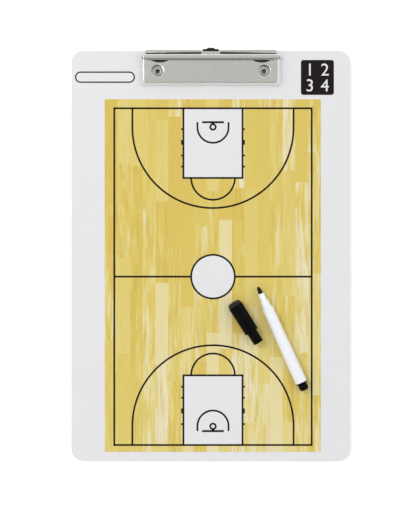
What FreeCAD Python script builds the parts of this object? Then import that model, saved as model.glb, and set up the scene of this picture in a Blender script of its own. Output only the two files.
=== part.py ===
import FreeCAD, Part
import math
import os
import re

import Sketcher

# A basketball tactics board with a spring clip, a pull-out hanging tab and a capped marker.
# Millimetres. The board lies on its back: X runs across it, Y towards the clip, Z out of the
# printed face. The origin is the middle of the back face.

SIZES = {
    # Board: a stiff core between a printed front film and a plain back film
    "board_width": 240,
    "board_length": 353,
    "board_corner_radius": 10,
    "core_thickness": 2.4,
    "film_thickness": 0.3,
    # Clip: both plates are formed from the same steel sheet
    "clip_sheet": 0.7,
    "hinge_setback": 6.1,
    "hinge_rise": 5,
    "seat_clearance": 0.02,
    "run_clearance": 0.06,
    "cut_overrun": 1,
    # Base plate of the clip
    "base_depth": 25,
    "ear_gap": 1,
    "bead_radius": 1.6,
    "bead_overhang": 1.1,
    "ear_radius": 1.4,
    # Hinge rod
    "rod_radius": 0.8,
    "rod_end_play": 0.15,
    "rod_head_radius": 1.4,
    "rod_head_length": 0.6,
    # Clamp plate: a roll over the rod, a flat, two sloping side walls and a front lip
    "clamp_width": 116,
    "clamp_reach": 21.8,
    "flat_rise": 1,
    "roll_radius": 2.5,
    "roll_end_round": 0.5,
    "wall_run": 3,
    "lip_run": 2.4,
    "jaw_gap": 0.25,
    "pan_corner_radius": 2.5,
    "bend_radius": 1,
    "access_radius": 5.3,
    "window_length": 15.4,
    "window_depth": 2,
    "window_gap": 0.15,
    "window_inset": 14.3,
    # Hollow rivets through the base plate and the board
    "rivet_inset": 10.6,
    "rivet_setback": 18,
    "rivet_shank_radius": 2.5,
    "rivet_bore_radius": 1.9,
    "rivet_head_radius": 3.7,
    "rivet_head_thickness": 0.8,
    "rivet_head_round": 0.5,
    "clinch_radius": 3.6,
    "clinch_thickness": 0.6,
    "clinch_recess": 0.1,
    "clinch_clearance": 0.2,
    # Torsion springs on the rod
    "wire_radius": 0.3,
    "coil_radius": 1.2,
    "coil_pitch": 1.05,
    "coil_turns": 8,
    "leg_gap": 0.5,
    "rest_leg_reach": 3.2,
    "rest_leg_gap": 0.05,
    "hook_leg_reach": 6.5,
    "hook_bend_radius": 1.2,
    "hook_clearance": 0.2,
    # Hanging tab and the channel that it slides in
    "tab_width": 14,
    "tab_thickness": 1.2,
    "tab_inner_length": 23.6,
    "tab_end_gap": 0.3,
    "tab_proud": 1.5,
    "tab_corner_radius": 1,
    "tab_side_clearance": 0.2,
    "tab_gap": 0.1,
    "tab_travel": 11,
    "nub_width": 6.4,
    "nub_proud": 0.9,
    "nub_rise": 0.6,
    "nub_corner_radius": 0.8,
    "hang_radius": 2.5,
    "hang_setback": 4.2,
    "notch_depth": 0.5,
    # Rivet that the tab's slot runs on
    "stop_setback": 9.8,
    "stop_radius": 1.5,
    "stop_clearance": 0.1,
    "stop_head_radius": 2.4,
    "stop_head_thickness": 0.5,
    # Marker, lying on the board with its nib up the board
    "marker_tail_across": 80.6,
    "marker_tail_along": -115,
    "marker_turn": 24.5,
    "lay_gap": 0.3,
    "plug_knob_radius": 3.9,
    "plug_knob_length": 6.3,
    "plug_knob_round": 1.8,
    "plug_flange_length": 1,
    "plug_insert": 7,
    "barrel_radius": 5.15,
    "barrel_front_radius": 4.8,
    "barrel_bore_radius": 3.6,
    "barrel_length": 70.4,
    "barrel_round": 0.4,
    "holder_insert": 8,
    "collar_base_radius": 3.9,
    "collar_tip_radius": 3.6,
    "collar_length": 6.2,
    "tube_base_radius": 2.85,
    "tube_tip_radius": 2.6,
    "tube_length": 6.9,
    "nib_radius": 1.9,
    "nib_proud": 6.3,
    "nib_round": 1.7,
    "wrap_thickness": 0.12,
    "wrap_clearance": 0.06,
    "ink_end_gap": 0.5,
    # Cap, lying beside the marker with its mouth down the board
    "cap_mouth_across": 41,
    "cap_mouth_along": -74.3,
    "cap_turn": 32.3,
    "cap_fit_clearance": 0.03,
    "cap_mouth_wall": 0.5,
    "cap_mouth_length": 10.9,
    "cap_shoulder": 1.2,
    "cap_head_base_radius": 6.1,
    "cap_head_radius": 6.45,
    "cap_head_length": 26.2,
    "cap_head_round": 0.5,
    "cap_cavity_radius": 5.2,
    "liner_length": 14,
    "liner_bore_radius": 3,
    "liner_end": 1.2,
    "felt_radius": 6,
    "felt_proud": 3.9,
    "felt_round": 2.8,
}

FULL_TURN = 2 * math.pi
QUARTER_TURN = math.pi / 2
SAME_SHARE = 1e-6
ACROSS = FreeCAD.Vector(1, 0, 0)
ALONG = FreeCAD.Vector(0, 1, 0)
UP = FreeCAD.Vector(0, 0, 1)

doc = FreeCAD.newDocument("tactics_board")
sheet = doc.addObject("Spreadsheet::Sheet", "sizes")
for row, (alias, number) in enumerate(SIZES.items(), start=1):
    sheet.set(f"A{row}", alias)
    sheet.set(f"B{row}", str(number))
    sheet.setAlias(f"B{row}", alias)
doc.recompute()


# Formulas: text in size names, such as "board_width / 2"

def expression(formula):
    """The formula with each size name pointed at its cell."""
    return re.sub(r"[a-z_]+", lambda word: f"sizes.{word[0]}" if word[0] in SIZES else word[0], formula)


def value(formula):
    """The formula's number now."""
    return float(sheet.evalExpression(expression(formula)))


def bind(item, **formulas):
    """Tie properties of a document object to formulas."""
    for name, formula in formulas.items():
        item.setExpression(name, expression(formula))


def place(item, across="0", along="0", up="0", axis=UP, turn="0"):
    """Tie an object's place, and its turn about an axis, to formulas."""
    item.Placement = FreeCAD.Placement(FreeCAD.Vector(), FreeCAD.Rotation(axis, value(turn)))
    item.setExpression("Placement.Base.x", expression(across))
    item.setExpression("Placement.Base.y", expression(along))
    item.setExpression("Placement.Base.z", expression(up))
    item.setExpression("Placement.Rotation.Angle", expression(turn))


# Sketches and features

def new_body(label):
    body = doc.addObject("PartDesign::Body", label)
    body.Label = label
    return body


def origin_plane(body, role):
    return next(feature for feature in body.Origin.OriginFeatures if feature.Role == role)


def new_sketch(body, name, role, offset="0"):
    """A sketch on one of the body's own planes, moved off it along the plane's normal."""
    sketch = body.newObject("Sketcher::SketchObject", name)
    sketch.AttachmentSupport = [(origin_plane(body, role), "")]
    sketch.MapMode = "FlatFace"
    sketch.setExpression("AttachmentOffset.Base.z", expression(offset))
    return sketch


def hold_point(sketch, side, end, corner):
    """Tie a point of a side to a pair of formulas."""
    for kind, formula in zip(("DistanceX", "DistanceY"), corner):
        number = sketch.addConstraint(Sketcher.Constraint(kind, -1, 1, side, end, value(formula)))
        sketch.setExpression(f"Constraints[{number}]", expression(formula))


def hold_radius(sketch, side, radius):
    number = sketch.addConstraint(Sketcher.Constraint("Radius", side, value(radius)))
    sketch.setExpression(f"Constraints[{number}]", expression(radius))


def outline(sketch, corners, arcs=None):
    """Draw a closed outline through corners, which are pairs of formulas.

    arcs gives the radius and turn of each round side, by the side's number. The turn is 1 where
    the side goes anticlockwise round its centre and -1 where it goes clockwise.
    """
    arcs = arcs or {}
    first = sketch.GeometryCount
    count = len(corners)
    points = [FreeCAD.Vector(value(across), value(up), 0) for across, up in corners]
    starts = []
    for side, start in enumerate(points):
        finish = points[(side + 1) % count]
        if side not in arcs:
            sketch.addGeometry(Part.LineSegment(start, finish), False)
            starts.append(1)
            continue
        radius, turn = arcs[side]
        chord = finish - start
        left = UP.cross(chord).normalize() * turn
        depth = math.sqrt(max(value(radius) ** 2 - (chord.Length / 2) ** 2, 0))
        centre = start + chord / 2 + left * depth
        circle = Part.Circle(centre, UP, value(radius))
        ends = [start, finish][::turn]
        angles = [math.atan2(end.y - centre.y, end.x - centre.x) for end in ends]
        if angles[1] < angles[0]:
            angles[1] += FULL_TURN
        sketch.addGeometry(Part.ArcOfCircle(circle, *angles), False)
        starts.append(1 if turn > 0 else 2)
    for side in range(count):
        after = (side + 1) % count
        sketch.addConstraint(
            Sketcher.Constraint("Coincident", first + side, 3 - starts[side], first + after, starts[after])
        )
    for side, corner in enumerate(corners):
        hold_point(sketch, first + side, starts[side], corner)
        if side in arcs:
            hold_radius(sketch, first + side, arcs[side][0])


def rectangle(sketch, left, right, low, high):
    outline(sketch, [(left, low), (right, low), (right, high), (left, high)])


def circle(sketch, across, up, radius):
    centre = FreeCAD.Vector(value(across), value(up), 0)
    side = sketch.addGeometry(Part.Circle(centre, UP, value(radius)), False)
    hold_point(sketch, side, 3, (across, up))
    hold_radius(sketch, side, radius)


def pad(body, sketch, name, length, both_ways=False):
    feature = body.newObject("PartDesign::Pad", name)
    feature.Profile = sketch
    if both_ways:
        feature.SideType = "Symmetric"
    bind(feature, Length=length)
    doc.recompute()
    return feature


def pocket_through(body, sketch, name):
    """Cut a sketch right through the body, both ways from the sketch."""
    feature = body.newObject("PartDesign::Pocket", name)
    feature.Profile = sketch
    feature.Type = "ThroughAll"
    feature.SideType = "Symmetric"
    doc.recompute()
    return feature


def round_edges(body, name, radius, picks):
    """Round the edges of the body's last feature that picks says yes to."""
    base = body.Tip
    chosen = [f"Edge{number}" for number, edge in enumerate(base.Shape.Edges, start=1) if picks(edge)]
    feature = body.newObject("PartDesign::Fillet", name)
    feature.Base = (base, chosen)
    bind(feature, Radius=radius)
    doc.recompute()
    return feature


def near(number, formula):
    """Is the number the formula's, to within a tiny share of the board's length?"""
    return abs(number - value(formula)) < SAME_SHARE * value("board_length")


def stands_up(edge):
    """Is the edge a straight one along Z?"""
    ends = edge.Vertexes
    return len(ends) == 2 and math.isclose(abs(ends[1].Z - ends[0].Z), edge.Length)


def turned(label, corners):
    """A body turned about its own X axis from an outline of station and radius formulas."""
    body = new_body(label)
    sketch = new_sketch(body, f"{label}_outline", "XY_Plane")
    outline(sketch, corners)
    turn = body.newObject("PartDesign::Revolution", f"{label}_turn")
    turn.Profile = sketch
    turn.ReferenceAxis = (sketch, ["H_Axis"])
    turn.Angle = 360
    doc.recompute()
    return body


def rim(station, radius):
    """Picks a turned body's round edge at a station and radius."""

    def picks(edge):
        is_round = isinstance(edge.Curve, Part.Circle)
        return is_round and near(edge.CenterOfMass.x, station) and near(edge.Curve.Radius, radius)

    return picks


# Places that several pieces share

FACE = "core_thickness + 2 * film_thickness"
TOP_EDGE = "board_length / 2"
HINGE_ALONG = f"{TOP_EDGE} - hinge_setback"
HINGE_UP = f"{FACE} + hinge_rise"
CHANNEL_HEIGHT = "tab_thickness + 2 * tab_gap"
CHANNEL_HALF = "tab_width / 2 + tab_side_clearance"
BASE_HALF = "clamp_width / 2 - clip_sheet - ear_gap"
RIVET_ACROSS = [f"-({BASE_HALF} - rivet_inset)", f"{BASE_HALF} - rivet_inset"]
SHANK_HOLE = "rivet_shank_radius + seat_clearance"
CLINCH_HOLE = "clinch_radius + clinch_clearance"


# Board: three layers with the same outline, drilled for the clip's rivets

def board_layer(label, thickness, lift, hole_radius):
    body = new_body(label)
    sketch = new_sketch(body, f"{label}_outline", "XY_Plane")
    rectangle(sketch, "-board_width / 2", "board_width / 2", "-board_length / 2", "board_length / 2")
    pad(body, sketch, f"{label}_pad", thickness)
    round_edges(body, f"{label}_corners", "board_corner_radius", stands_up)
    drill(body, f"{label}_holes", hole_radius)
    place(body, up=lift)
    return body


def drill(body, name, radius):
    """Two rivet holes through a board layer."""
    sketch = new_sketch(body, f"{name}_sketch", "XY_Plane")
    for across in RIVET_ACROSS:
        circle(sketch, across, f"{TOP_EDGE} - rivet_setback", radius)
    pocket_through(body, sketch, name)


core_panel = board_layer("core_panel", "core_thickness", "film_thickness", SHANK_HOLE)
dry_erase_film = board_layer("dry_erase_film", "film_thickness", f"{FACE} - film_thickness", SHANK_HOLE)
back_film = board_layer("back_film", "film_thickness", "0", CLINCH_HOLE)

# The rivets' clinched ends sit in shallow counterbores in the back of the core.
counterbore = new_sketch(core_panel, "counterbore_sketch", "XY_Plane")
for rivet_across in RIVET_ACROSS:
    circle(counterbore, rivet_across, f"{TOP_EDGE} - rivet_setback", CLINCH_HOLE)
counterbore_cut = core_panel.newObject("PartDesign::Pocket", "counterbore_cut")
counterbore_cut.Profile = counterbore
counterbore_cut.Reversed = True
bind(counterbore_cut, Length="clinch_recess + clinch_thickness - film_thickness")
doc.recompute()


# Base plate of the clip: its own origin is the middle of the board's top edge, on the face.
# Its rear edge is a half-round bead that stands past the board. A channel with raised rims lets the
# hanging tab slide on the board.

clip_base_plate = new_body("clip_base_plate")
RIM_HALF = f"{CHANNEL_HALF} + clip_sheet"
BEAD_MIDDLE = "bead_overhang - bead_radius"
BEAD_FRONT = "bead_overhang - 2 * bead_radius"

base_flat = new_sketch(clip_base_plate, "base_flat", "XY_Plane")
rectangle(base_flat, f"-({BASE_HALF})", BASE_HALF, "-base_depth", f"{BEAD_FRONT} + clip_sheet")
pad(clip_base_plate, base_flat, "base_flat_pad", "clip_sheet")

base_bead = new_sketch(clip_base_plate, "base_bead", "YZ_Plane")
outline(
    base_bead,
    [
        (BEAD_FRONT, "0"),
        (f"{BEAD_FRONT} + clip_sheet", "0"),
        (BEAD_MIDDLE, "bead_radius - clip_sheet"),
        ("bead_overhang - clip_sheet", "0"),
        ("bead_overhang", "0"),
        (BEAD_MIDDLE, "bead_radius"),
    ],
    arcs={
        1: ("bead_radius - clip_sheet", -1),
        2: ("bead_radius - clip_sheet", -1),
        4: ("bead_radius", 1),
        5: ("bead_radius", 1),
    },
)
pad(clip_base_plate, base_bead, "base_bead_pad", f"2 * ({BASE_HALF})", both_ways=True)

base_notch = new_sketch(clip_base_plate, "base_notch", "XY_Plane")
rectangle(base_notch, f"-({RIM_HALF})", RIM_HALF, BEAD_FRONT, "bead_overhang + cut_overrun")
pocket_through(clip_base_plate, base_notch, "base_notch_cut")

base_rims = new_sketch(clip_base_plate, "base_rims", "XY_Plane")
rectangle(base_rims, f"-({RIM_HALF})", RIM_HALF, "-base_depth", "-notch_depth")
pad(clip_base_plate, base_rims, "base_rims_pad", CHANNEL_HEIGHT)

CHANNEL_END = "-tab_inner_length - tab_end_gap"
base_channel = new_sketch(clip_base_plate, "base_channel", "XY_Plane")
rectangle(base_channel, f"-({CHANNEL_HALF})", CHANNEL_HALF, CHANNEL_END, "cut_overrun")
pocket_through(clip_base_plate, base_channel, "base_channel_cut")

EAR_INSIDE = f"{BASE_HALF} - clip_sheet"
EAR_REAR = "-hinge_setback + ear_radius"
EAR_FRONT = "-hinge_setback - ear_radius"
ear_stem = new_sketch(clip_base_plate, "ear_stem", "YZ_Plane", offset=EAR_INSIDE)
rectangle(ear_stem, EAR_FRONT, EAR_REAR, "0", "hinge_rise")
ear_stem_pad = pad(clip_base_plate, ear_stem, "ear_stem_pad", "clip_sheet")
ear_head = new_sketch(clip_base_plate, "ear_head", "YZ_Plane", offset=EAR_INSIDE)
circle(ear_head, "-hinge_setback", "hinge_rise", "ear_radius")
ear_head_pad = pad(clip_base_plate, ear_head, "ear_head_pad", "clip_sheet")
other_ear = clip_base_plate.newObject("PartDesign::Mirrored", "other_ear")
other_ear.Originals = [ear_stem_pad, ear_head_pad]
other_ear.MirrorPlane = (origin_plane(clip_base_plate, "YZ_Plane"), [""])
clip_base_plate.Tip = other_ear
doc.recompute()

ear_holes = new_sketch(clip_base_plate, "ear_holes", "YZ_Plane")
circle(ear_holes, "-hinge_setback", "hinge_rise", "rod_radius + seat_clearance")
pocket_through(clip_base_plate, ear_holes, "ear_holes_cut")

base_holes = new_sketch(clip_base_plate, "base_holes", "XY_Plane")
for rivet_across in RIVET_ACROSS:
    circle(base_holes, rivet_across, "-rivet_setback", SHANK_HOLE)
pocket_through(clip_base_plate, base_holes, "base_holes_cut")
place(clip_base_plate, along=TOP_EDGE, up=FACE)


# Tab cover: a flat strip welded to the channel's rims, with a hole for the rivet that stops the tab

tab_cover = new_body("tab_cover")
cover_outline = new_sketch(tab_cover, "cover_outline", "XY_Plane")
rectangle(cover_outline, f"-({RIM_HALF})", RIM_HALF, "-base_depth", "-notch_depth")
pad(tab_cover, cover_outline, "cover_pad", "clip_sheet")
cover_hole = new_sketch(tab_cover, "cover_hole", "XY_Plane")
circle(cover_hole, "0", "-stop_setback", "stop_radius + seat_clearance")
pocket_through(tab_cover, cover_hole, "cover_hole_cut")
place(tab_cover, along=TOP_EDGE, up=f"{FACE} + {CHANNEL_HEIGHT}")


# Clip rivets: hollow, headed on the base plate and clinched in the back of the board

RIVET_SHANK_END = f"{FACE} + clip_sheet - clinch_recess"
RIVET_TOP = f"{RIVET_SHANK_END} + rivet_head_thickness"
left_rivet = turned(
    "left_clip_rivet",
    [
        ("0", "rivet_bore_radius"),
        ("0", "clinch_radius"),
        ("clinch_thickness", "clinch_radius"),
        ("clinch_thickness", "rivet_shank_radius"),
        (RIVET_SHANK_END, "rivet_shank_radius"),
        (RIVET_SHANK_END, "rivet_head_radius"),
        (RIVET_TOP, "rivet_head_radius"),
        (RIVET_TOP, "rivet_bore_radius"),
    ],
)
round_edges(left_rivet, "left_clip_rivet_round", "rivet_head_round", rim(RIVET_TOP, "rivet_head_radius"))
place(
    left_rivet,
    across=RIVET_ACROSS[0],
    along=f"{TOP_EDGE} - rivet_setback",
    up="clinch_recess",
    axis=-ALONG,
    turn="90",
)
right_rivet = doc.addObject("Part::Mirroring", "right_clip_rivet")
right_rivet.Source = left_rivet
right_rivet.Normal = ACROSS
clip_rivets = doc.addObject("Part::Compound", "clip_rivets")
clip_rivets.Links = [left_rivet, right_rivet]


# Hinge rod: held in the base plate's ears, with a peened head outside each of the clamp's lugs

ROD_HALF = "clamp_width / 2 + rod_end_play"
ROD_END = f"{ROD_HALF} + rod_head_length"
hinge_rod = turned(
    "hinge_rod",
    [
        (f"-({ROD_END})", "0"),
        (f"-({ROD_END})", "rod_head_radius"),
        (f"-({ROD_HALF})", "rod_head_radius"),
        (f"-({ROD_HALF})", "rod_radius"),
        (ROD_HALF, "rod_radius"),
        (ROD_HALF, "rod_head_radius"),
        (ROD_END, "rod_head_radius"),
        (ROD_END, "0"),
    ],
)
place(hinge_rod, along=HINGE_ALONG, up=HINGE_UP)


# Clamp plate: its own origin is on the hinge axis. The pan is the flat with its walls and lip.

PAN_HEIGHT = "hinge_rise - jaw_gap + flat_rise"
PAN_REAR = "-(roll_radius - clip_sheet / 2)"


def pan_block(label, top_drop, bottom_drop, rear, inset, corner_radius, bend_radius):
    """A block with the pan's sloping front and sides, from one drop below its top to another.

    inset says whether the block is the hollow inside the sheet, 1, or the pan's outside, 0.
    """
    body = new_body(label)
    side_wall = f"{inset} * clip_sheet * sqrt(1 + (wall_run / ({PAN_HEIGHT})) ^ 2)"
    front_wall = f"{inset} * clip_sheet * sqrt(1 + (lip_run / ({PAN_HEIGHT})) ^ 2)"
    sections = []
    for level, drop in (("top", top_drop), ("bottom", bottom_drop)):
        slope = f"({drop}) / ({PAN_HEIGHT})"
        half = f"clamp_width / 2 + wall_run * {slope} - {side_wall}"
        front = f"-(clamp_reach + lip_run * {slope} - {front_wall})"
        section = new_sketch(body, f"{label}_{level}", "XY_Plane", offset=f"flat_rise - ({drop})")
        rectangle(section, f"-({half})", half, front, rear)
        sections.append(section)
    loft = body.newObject("PartDesign::AdditiveLoft", f"{label}_loft")
    loft.Profile = sections[0]
    loft.Sections = [sections[1]]
    loft.Ruled = True
    doc.recompute()
    middle = "-(clamp_reach + lip_run) / 2"
    top = f"flat_rise - ({top_drop})"

    def is_front_corner(edge):
        low, high = edge.BoundBox.ZMin, edge.BoundBox.ZMax
        return high > low + value("clip_sheet") and edge.CenterOfMass.y < value(middle)

    def is_bend(edge):
        on_top = near(edge.BoundBox.ZMin, top) and near(edge.BoundBox.ZMax, top)
        return on_top and not near(edge.CenterOfMass.y, rear)

    round_edges(body, f"{label}_corners", corner_radius, is_front_corner)
    round_edges(body, f"{label}_bends", bend_radius, is_bend)
    place(body, along=HINGE_ALONG, up=HINGE_UP)
    return body


pan_outside = pan_block("pan_outside", "0", PAN_HEIGHT, PAN_REAR, 0, "pan_corner_radius", "bend_radius")
pan_inside = pan_block(
    "pan_inside",
    "clip_sheet",
    f"{PAN_HEIGHT} + cut_overrun",
    "0",
    1,
    "pan_corner_radius - clip_sheet",
    "bend_radius - clip_sheet",
)
pan = doc.addObject("Part::Cut", "pan")
pan.Base = pan_outside
pan.Tool = pan_inside

# The roll is the sheet bent over the rod, closed at each end by a round lug that turns on it.
roll = new_body("roll")
ROLL_INSIDE = "(roll_radius - clip_sheet)"
ROLL_FOOT = "(flat_rise - clip_sheet)"
roll_ring = new_sketch(roll, "roll_ring", "YZ_Plane")
outline(
    roll_ring,
    [
        ("roll_radius", "0"),
        (f"-sqrt(roll_radius ^ 2 - {ROLL_FOOT} ^ 2)", ROLL_FOOT),
        (f"-sqrt({ROLL_INSIDE} ^ 2 - {ROLL_FOOT} ^ 2)", ROLL_FOOT),
        (ROLL_INSIDE, "0"),
    ],
    arcs={0: ("roll_radius", 1), 2: (ROLL_INSIDE, -1)},
)
pad(roll, roll_ring, "roll_ring_pad", "clamp_width", both_ways=True)
lug_disc = new_sketch(roll, "lug_disc", "YZ_Plane", offset="clamp_width / 2 - clip_sheet")
circle(lug_disc, "0", "0", "roll_radius")
lug_pad = pad(roll, lug_disc, "lug_pad", "clip_sheet")
other_lug = roll.newObject("PartDesign::Mirrored", "other_lug")
other_lug.Originals = [lug_pad]
other_lug.MirrorPlane = (origin_plane(roll, "YZ_Plane"), [""])
roll.Tip = other_lug
doc.recompute()


def is_lug_rim(edge):
    """Is the edge on the outer rim of a lug's outer face?"""
    box = edge.BoundBox
    is_round = isinstance(edge.Curve, Part.Circle) and near(edge.Curve.Radius, "roll_radius")
    on_outer_face = near(abs(box.Center.x), "clamp_width / 2") and near(box.XLength, "0")
    return is_round and on_outer_face


round_edges(roll, "lug_rims", "roll_end_round", is_lug_rim)
lug_holes = new_sketch(roll, "lug_holes", "YZ_Plane")
circle(lug_holes, "0", "0", "rod_radius + run_clearance")
pocket_through(roll, lug_holes, "lug_holes_cut")
place(roll, along=HINGE_ALONG, up=HINGE_UP)

clamp_blank = doc.addObject("Part::MultiFuse", "clamp_blank")
clamp_blank.Shapes = [pan, roll]

# Holes: one over each rivet, a window in front of each spring, and one in each side wall for the
# hooked leg of a spring. A window is bounded by a straight rear edge and an arc.
clamp_drills = []
for name, rivet_across in zip(("left_access", "right_access"), RIVET_ACROSS):
    access = doc.addObject("Part::Cylinder", name)
    bind(access, Radius="access_radius", Height="flat_rise + cut_overrun")
    place(access, across=rivet_across, along=f"{TOP_EDGE} - rivet_setback", up=HINGE_UP)
    clamp_drills.append(access)
WINDOW_RADIUS = "(window_length ^ 2 / 4 + window_depth ^ 2) / (2 * window_depth)"
CREASE = "sqrt(roll_radius ^ 2 - flat_rise ^ 2)"
left_window = new_body("left_window")
window_outline = new_sketch(left_window, "window_outline", "XY_Plane")
outline(
    window_outline,
    [("-window_length / 2", "0"), ("window_length / 2", "0")],
    arcs={1: (WINDOW_RADIUS, -1)},
)
pad(left_window, window_outline, "window_pad", "flat_rise + cut_overrun")
place(
    left_window,
    across="-(clamp_width / 2 - window_inset)",
    along=f"{HINGE_ALONG} - {CREASE} - window_gap",
    up=HINGE_UP,
)
right_window = doc.addObject("Part::Mirroring", "right_window")
right_window.Source = left_window
right_window.Normal = ACROSS
clamp_drills += [left_window, right_window]
WALL_HALF = "clamp_width / 2 + wall_run"
hook_holes = doc.addObject("Part::Cylinder", "hook_holes")
bind(hook_holes, Radius="wire_radius + hook_clearance", Height=f"2 * ({WALL_HALF})")
place(
    hook_holes,
    across=f"-({WALL_HALF})",
    along=f"{HINGE_ALONG} - hook_leg_reach",
    up=f"{HINGE_UP} - coil_radius",
    axis=ALONG,
    turn="90",
)
clamp_drills.append(hook_holes)
clamp_drill_group = doc.addObject("Part::Compound", "clamp_drill_group")
clamp_drill_group.Links = clamp_drills
clamp_plate = doc.addObject("Part::Cut", "clamp_plate")
clamp_plate.Base = clamp_blank
clamp_plate.Tool = clamp_drill_group


# Torsion springs: one leg rests on the base plate behind the rod, the other hooks a side wall

def arc_from(start, direction, finish):
    """The arc that leaves start along a direction and ends at finish."""
    chord = finish - start
    inward = (chord - direction * chord.dot(direction)).normalize()
    radius = chord.Length ** 2 / (2 * chord.dot(inward))
    centre = start + inward * radius
    middle = centre + (start + chord / 2 - centre).normalize() * radius
    return Part.Arc(start, middle, finish).toShape()


def biarc(start, start_direction, finish, finish_direction):
    """Two arcs that leave start and reach finish along the given directions."""
    chord = finish - start
    spread = 2 * (1 - start_direction.dot(finish_direction))
    pull = chord.dot(start_direction + finish_direction)
    reach = (math.sqrt(pull ** 2 + spread * chord.dot(chord)) - pull) / spread
    joint = (start + finish + (start_direction - finish_direction) * reach) / 2
    first = arc_from(start, start_direction, joint)
    second = arc_from(finish, -finish_direction, joint)
    return [first, second]


def spring_path():
    """The middle line of the right-hand spring, about the hinge axis."""
    radius = value("coil_radius")
    climb = value("coil_pitch") / FULL_TURN
    outer = value(f"{EAR_INSIDE} - leg_gap - wire_radius")
    last_angle = FULL_TURN * value("coil_turns")

    def point(angle):
        across = outer - climb * (last_angle - angle)
        return FreeCAD.Vector(across, -radius * math.sin(angle), -radius * math.cos(angle))

    def heading(angle):
        return FreeCAD.Vector(climb, -radius * math.cos(angle), radius * math.sin(angle)).normalize()

    # The resting leg is the tangent from the coil to a point just above the base plate.
    back = value("rest_leg_reach")
    down = value("hinge_rise - clip_sheet - wire_radius - rest_leg_gap")
    leg = math.sqrt(back ** 2 + down ** 2 - radius ** 2)
    first_angle = math.atan2(leg * down - radius * back, leg * back + radius * down)
    lean = math.hypot(radius, climb) / radius
    tip = point(first_angle) - heading(first_angle) * leg * lean
    edges = [Part.LineSegment(tip, point(first_angle)).toShape()]

    quarters = math.ceil((last_angle - first_angle) / QUARTER_TURN)
    step = (last_angle - first_angle) / quarters
    for quarter in range(quarters):
        angle = first_angle + step * quarter
        edges += biarc(point(angle), heading(angle), point(angle + step), heading(angle + step))

    # The other leg runs forward under the flat and bends out through the side wall.
    start = point(last_angle)
    forward = heading(last_angle)
    corner = start + forward * (value("hook_leg_reach") / -forward.y)
    turn = math.acos(forward.dot(ACROSS))
    tangent = value("hook_bend_radius") * math.tan(turn / 2)
    wall_drop = "flat_rise + coil_radius"
    wall_face = value(f"clamp_width / 2 + wall_run * ({wall_drop}) / ({PAN_HEIGHT})")
    bend_start = corner - forward * tangent
    bend_end = corner + ACROSS * tangent
    edges.append(Part.LineSegment(start, bend_start).toShape())
    edges.append(arc_from(bend_start, forward, bend_end))
    edges.append(Part.LineSegment(bend_end, FreeCAD.Vector(wall_face, corner.y, corner.z)).toShape())
    return edges


def least_self_gap(edges):
    """The least space between two stretches of the wire that are more than half a turn apart."""
    spacing = value("wire_radius") / 2
    points = [spot for edge in edges for spot in edge.discretize(max(2, round(edge.Length / spacing)))]
    apart = math.ceil(math.pi * value("coil_radius") / spacing)
    distances = [
        points[one].distanceToPoint(points[other])
        for one in range(len(points))
        for other in range(one + apart, len(points))
    ]
    return min(distances) - 2 * value("wire_radius")


spring_edges = spring_path()
spring_wire = Part.Wire(Part.__sortEdges__(spring_edges))
wire_section = Part.Wire(
    Part.Circle(
        spring_edges[0].Vertexes[0].Point,
        spring_edges[0].Vertexes[1].Point - spring_edges[0].Vertexes[0].Point,
        value("wire_radius"),
    ).toShape()
)
right_spring_shape = spring_wire.makePipeShell([wire_section], True, False)
left_spring_shape = right_spring_shape.mirror(FreeCAD.Vector(), ACROSS)
print("spring gap to itself, mm:", round(least_self_gap(spring_edges), 3))
springs = []
for label, shape in (("left_spring", left_spring_shape), ("right_spring", right_spring_shape)):
    spring = doc.addObject("Part::Feature", label)
    spring.Shape = shape
    spring.Placement = FreeCAD.Placement(
        FreeCAD.Vector(0, value(HINGE_ALONG), value(HINGE_UP)), FreeCAD.Rotation()
    )
    springs.append(spring)


# Hanging tab: its own origin is the middle of the board's top edge, just above the face

hanging_tab = new_body("hanging_tab")
NUB_END = "tab_proud + nub_proud"
tab_outline = new_sketch(hanging_tab, "tab_outline", "XY_Plane")
outline(
    tab_outline,
    [
        ("-tab_width / 2", "-tab_inner_length"),
        ("tab_width / 2", "-tab_inner_length"),
        ("tab_width / 2", "tab_proud"),
        ("nub_width / 2", "tab_proud"),
        ("nub_width / 2", NUB_END),
        ("-nub_width / 2", NUB_END),
        ("-nub_width / 2", "tab_proud"),
        ("-tab_width / 2", "tab_proud"),
    ],
)
pad(hanging_tab, tab_outline, "tab_pad", "tab_thickness")
tab_nub = new_sketch(hanging_tab, "tab_nub", "XY_Plane")
rectangle(tab_nub, "-nub_width / 2", "nub_width / 2", "tab_proud", NUB_END)
pad(hanging_tab, tab_nub, "tab_nub_pad", "tab_thickness + nub_rise")
round_edges(
    hanging_tab,
    "tab_corners",
    "tab_corner_radius",
    lambda edge: stands_up(edge) and near(abs(edge.CenterOfMass.x), "tab_width / 2"),
)
round_edges(
    hanging_tab,
    "nub_corners",
    "nub_corner_radius",
    lambda edge: stands_up(edge) and near(edge.CenterOfMass.y, NUB_END),
)
SLOT_RADIUS = "stop_radius + stop_clearance"
SLOT_ENDS = ["-stop_setback", "-stop_setback - tab_travel"]
tab_holes = new_sketch(hanging_tab, "tab_holes", "XY_Plane")
circle(tab_holes, "0", "-hang_setback", "hang_radius")
for slot_end in SLOT_ENDS:
    circle(tab_holes, "0", slot_end, SLOT_RADIUS)
pocket_through(hanging_tab, tab_holes, "tab_holes_cut")
tab_slot = new_sketch(hanging_tab, "tab_slot", "XY_Plane")
rectangle(tab_slot, f"-({SLOT_RADIUS})", SLOT_RADIUS, SLOT_ENDS[1], SLOT_ENDS[0])
pocket_through(hanging_tab, tab_slot, "tab_slot_cut")
place(hanging_tab, along=TOP_EDGE, up=f"{FACE} + tab_gap")


# Rivet that stops the tab: set in the tab cover, with its shank in the tab's slot

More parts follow.
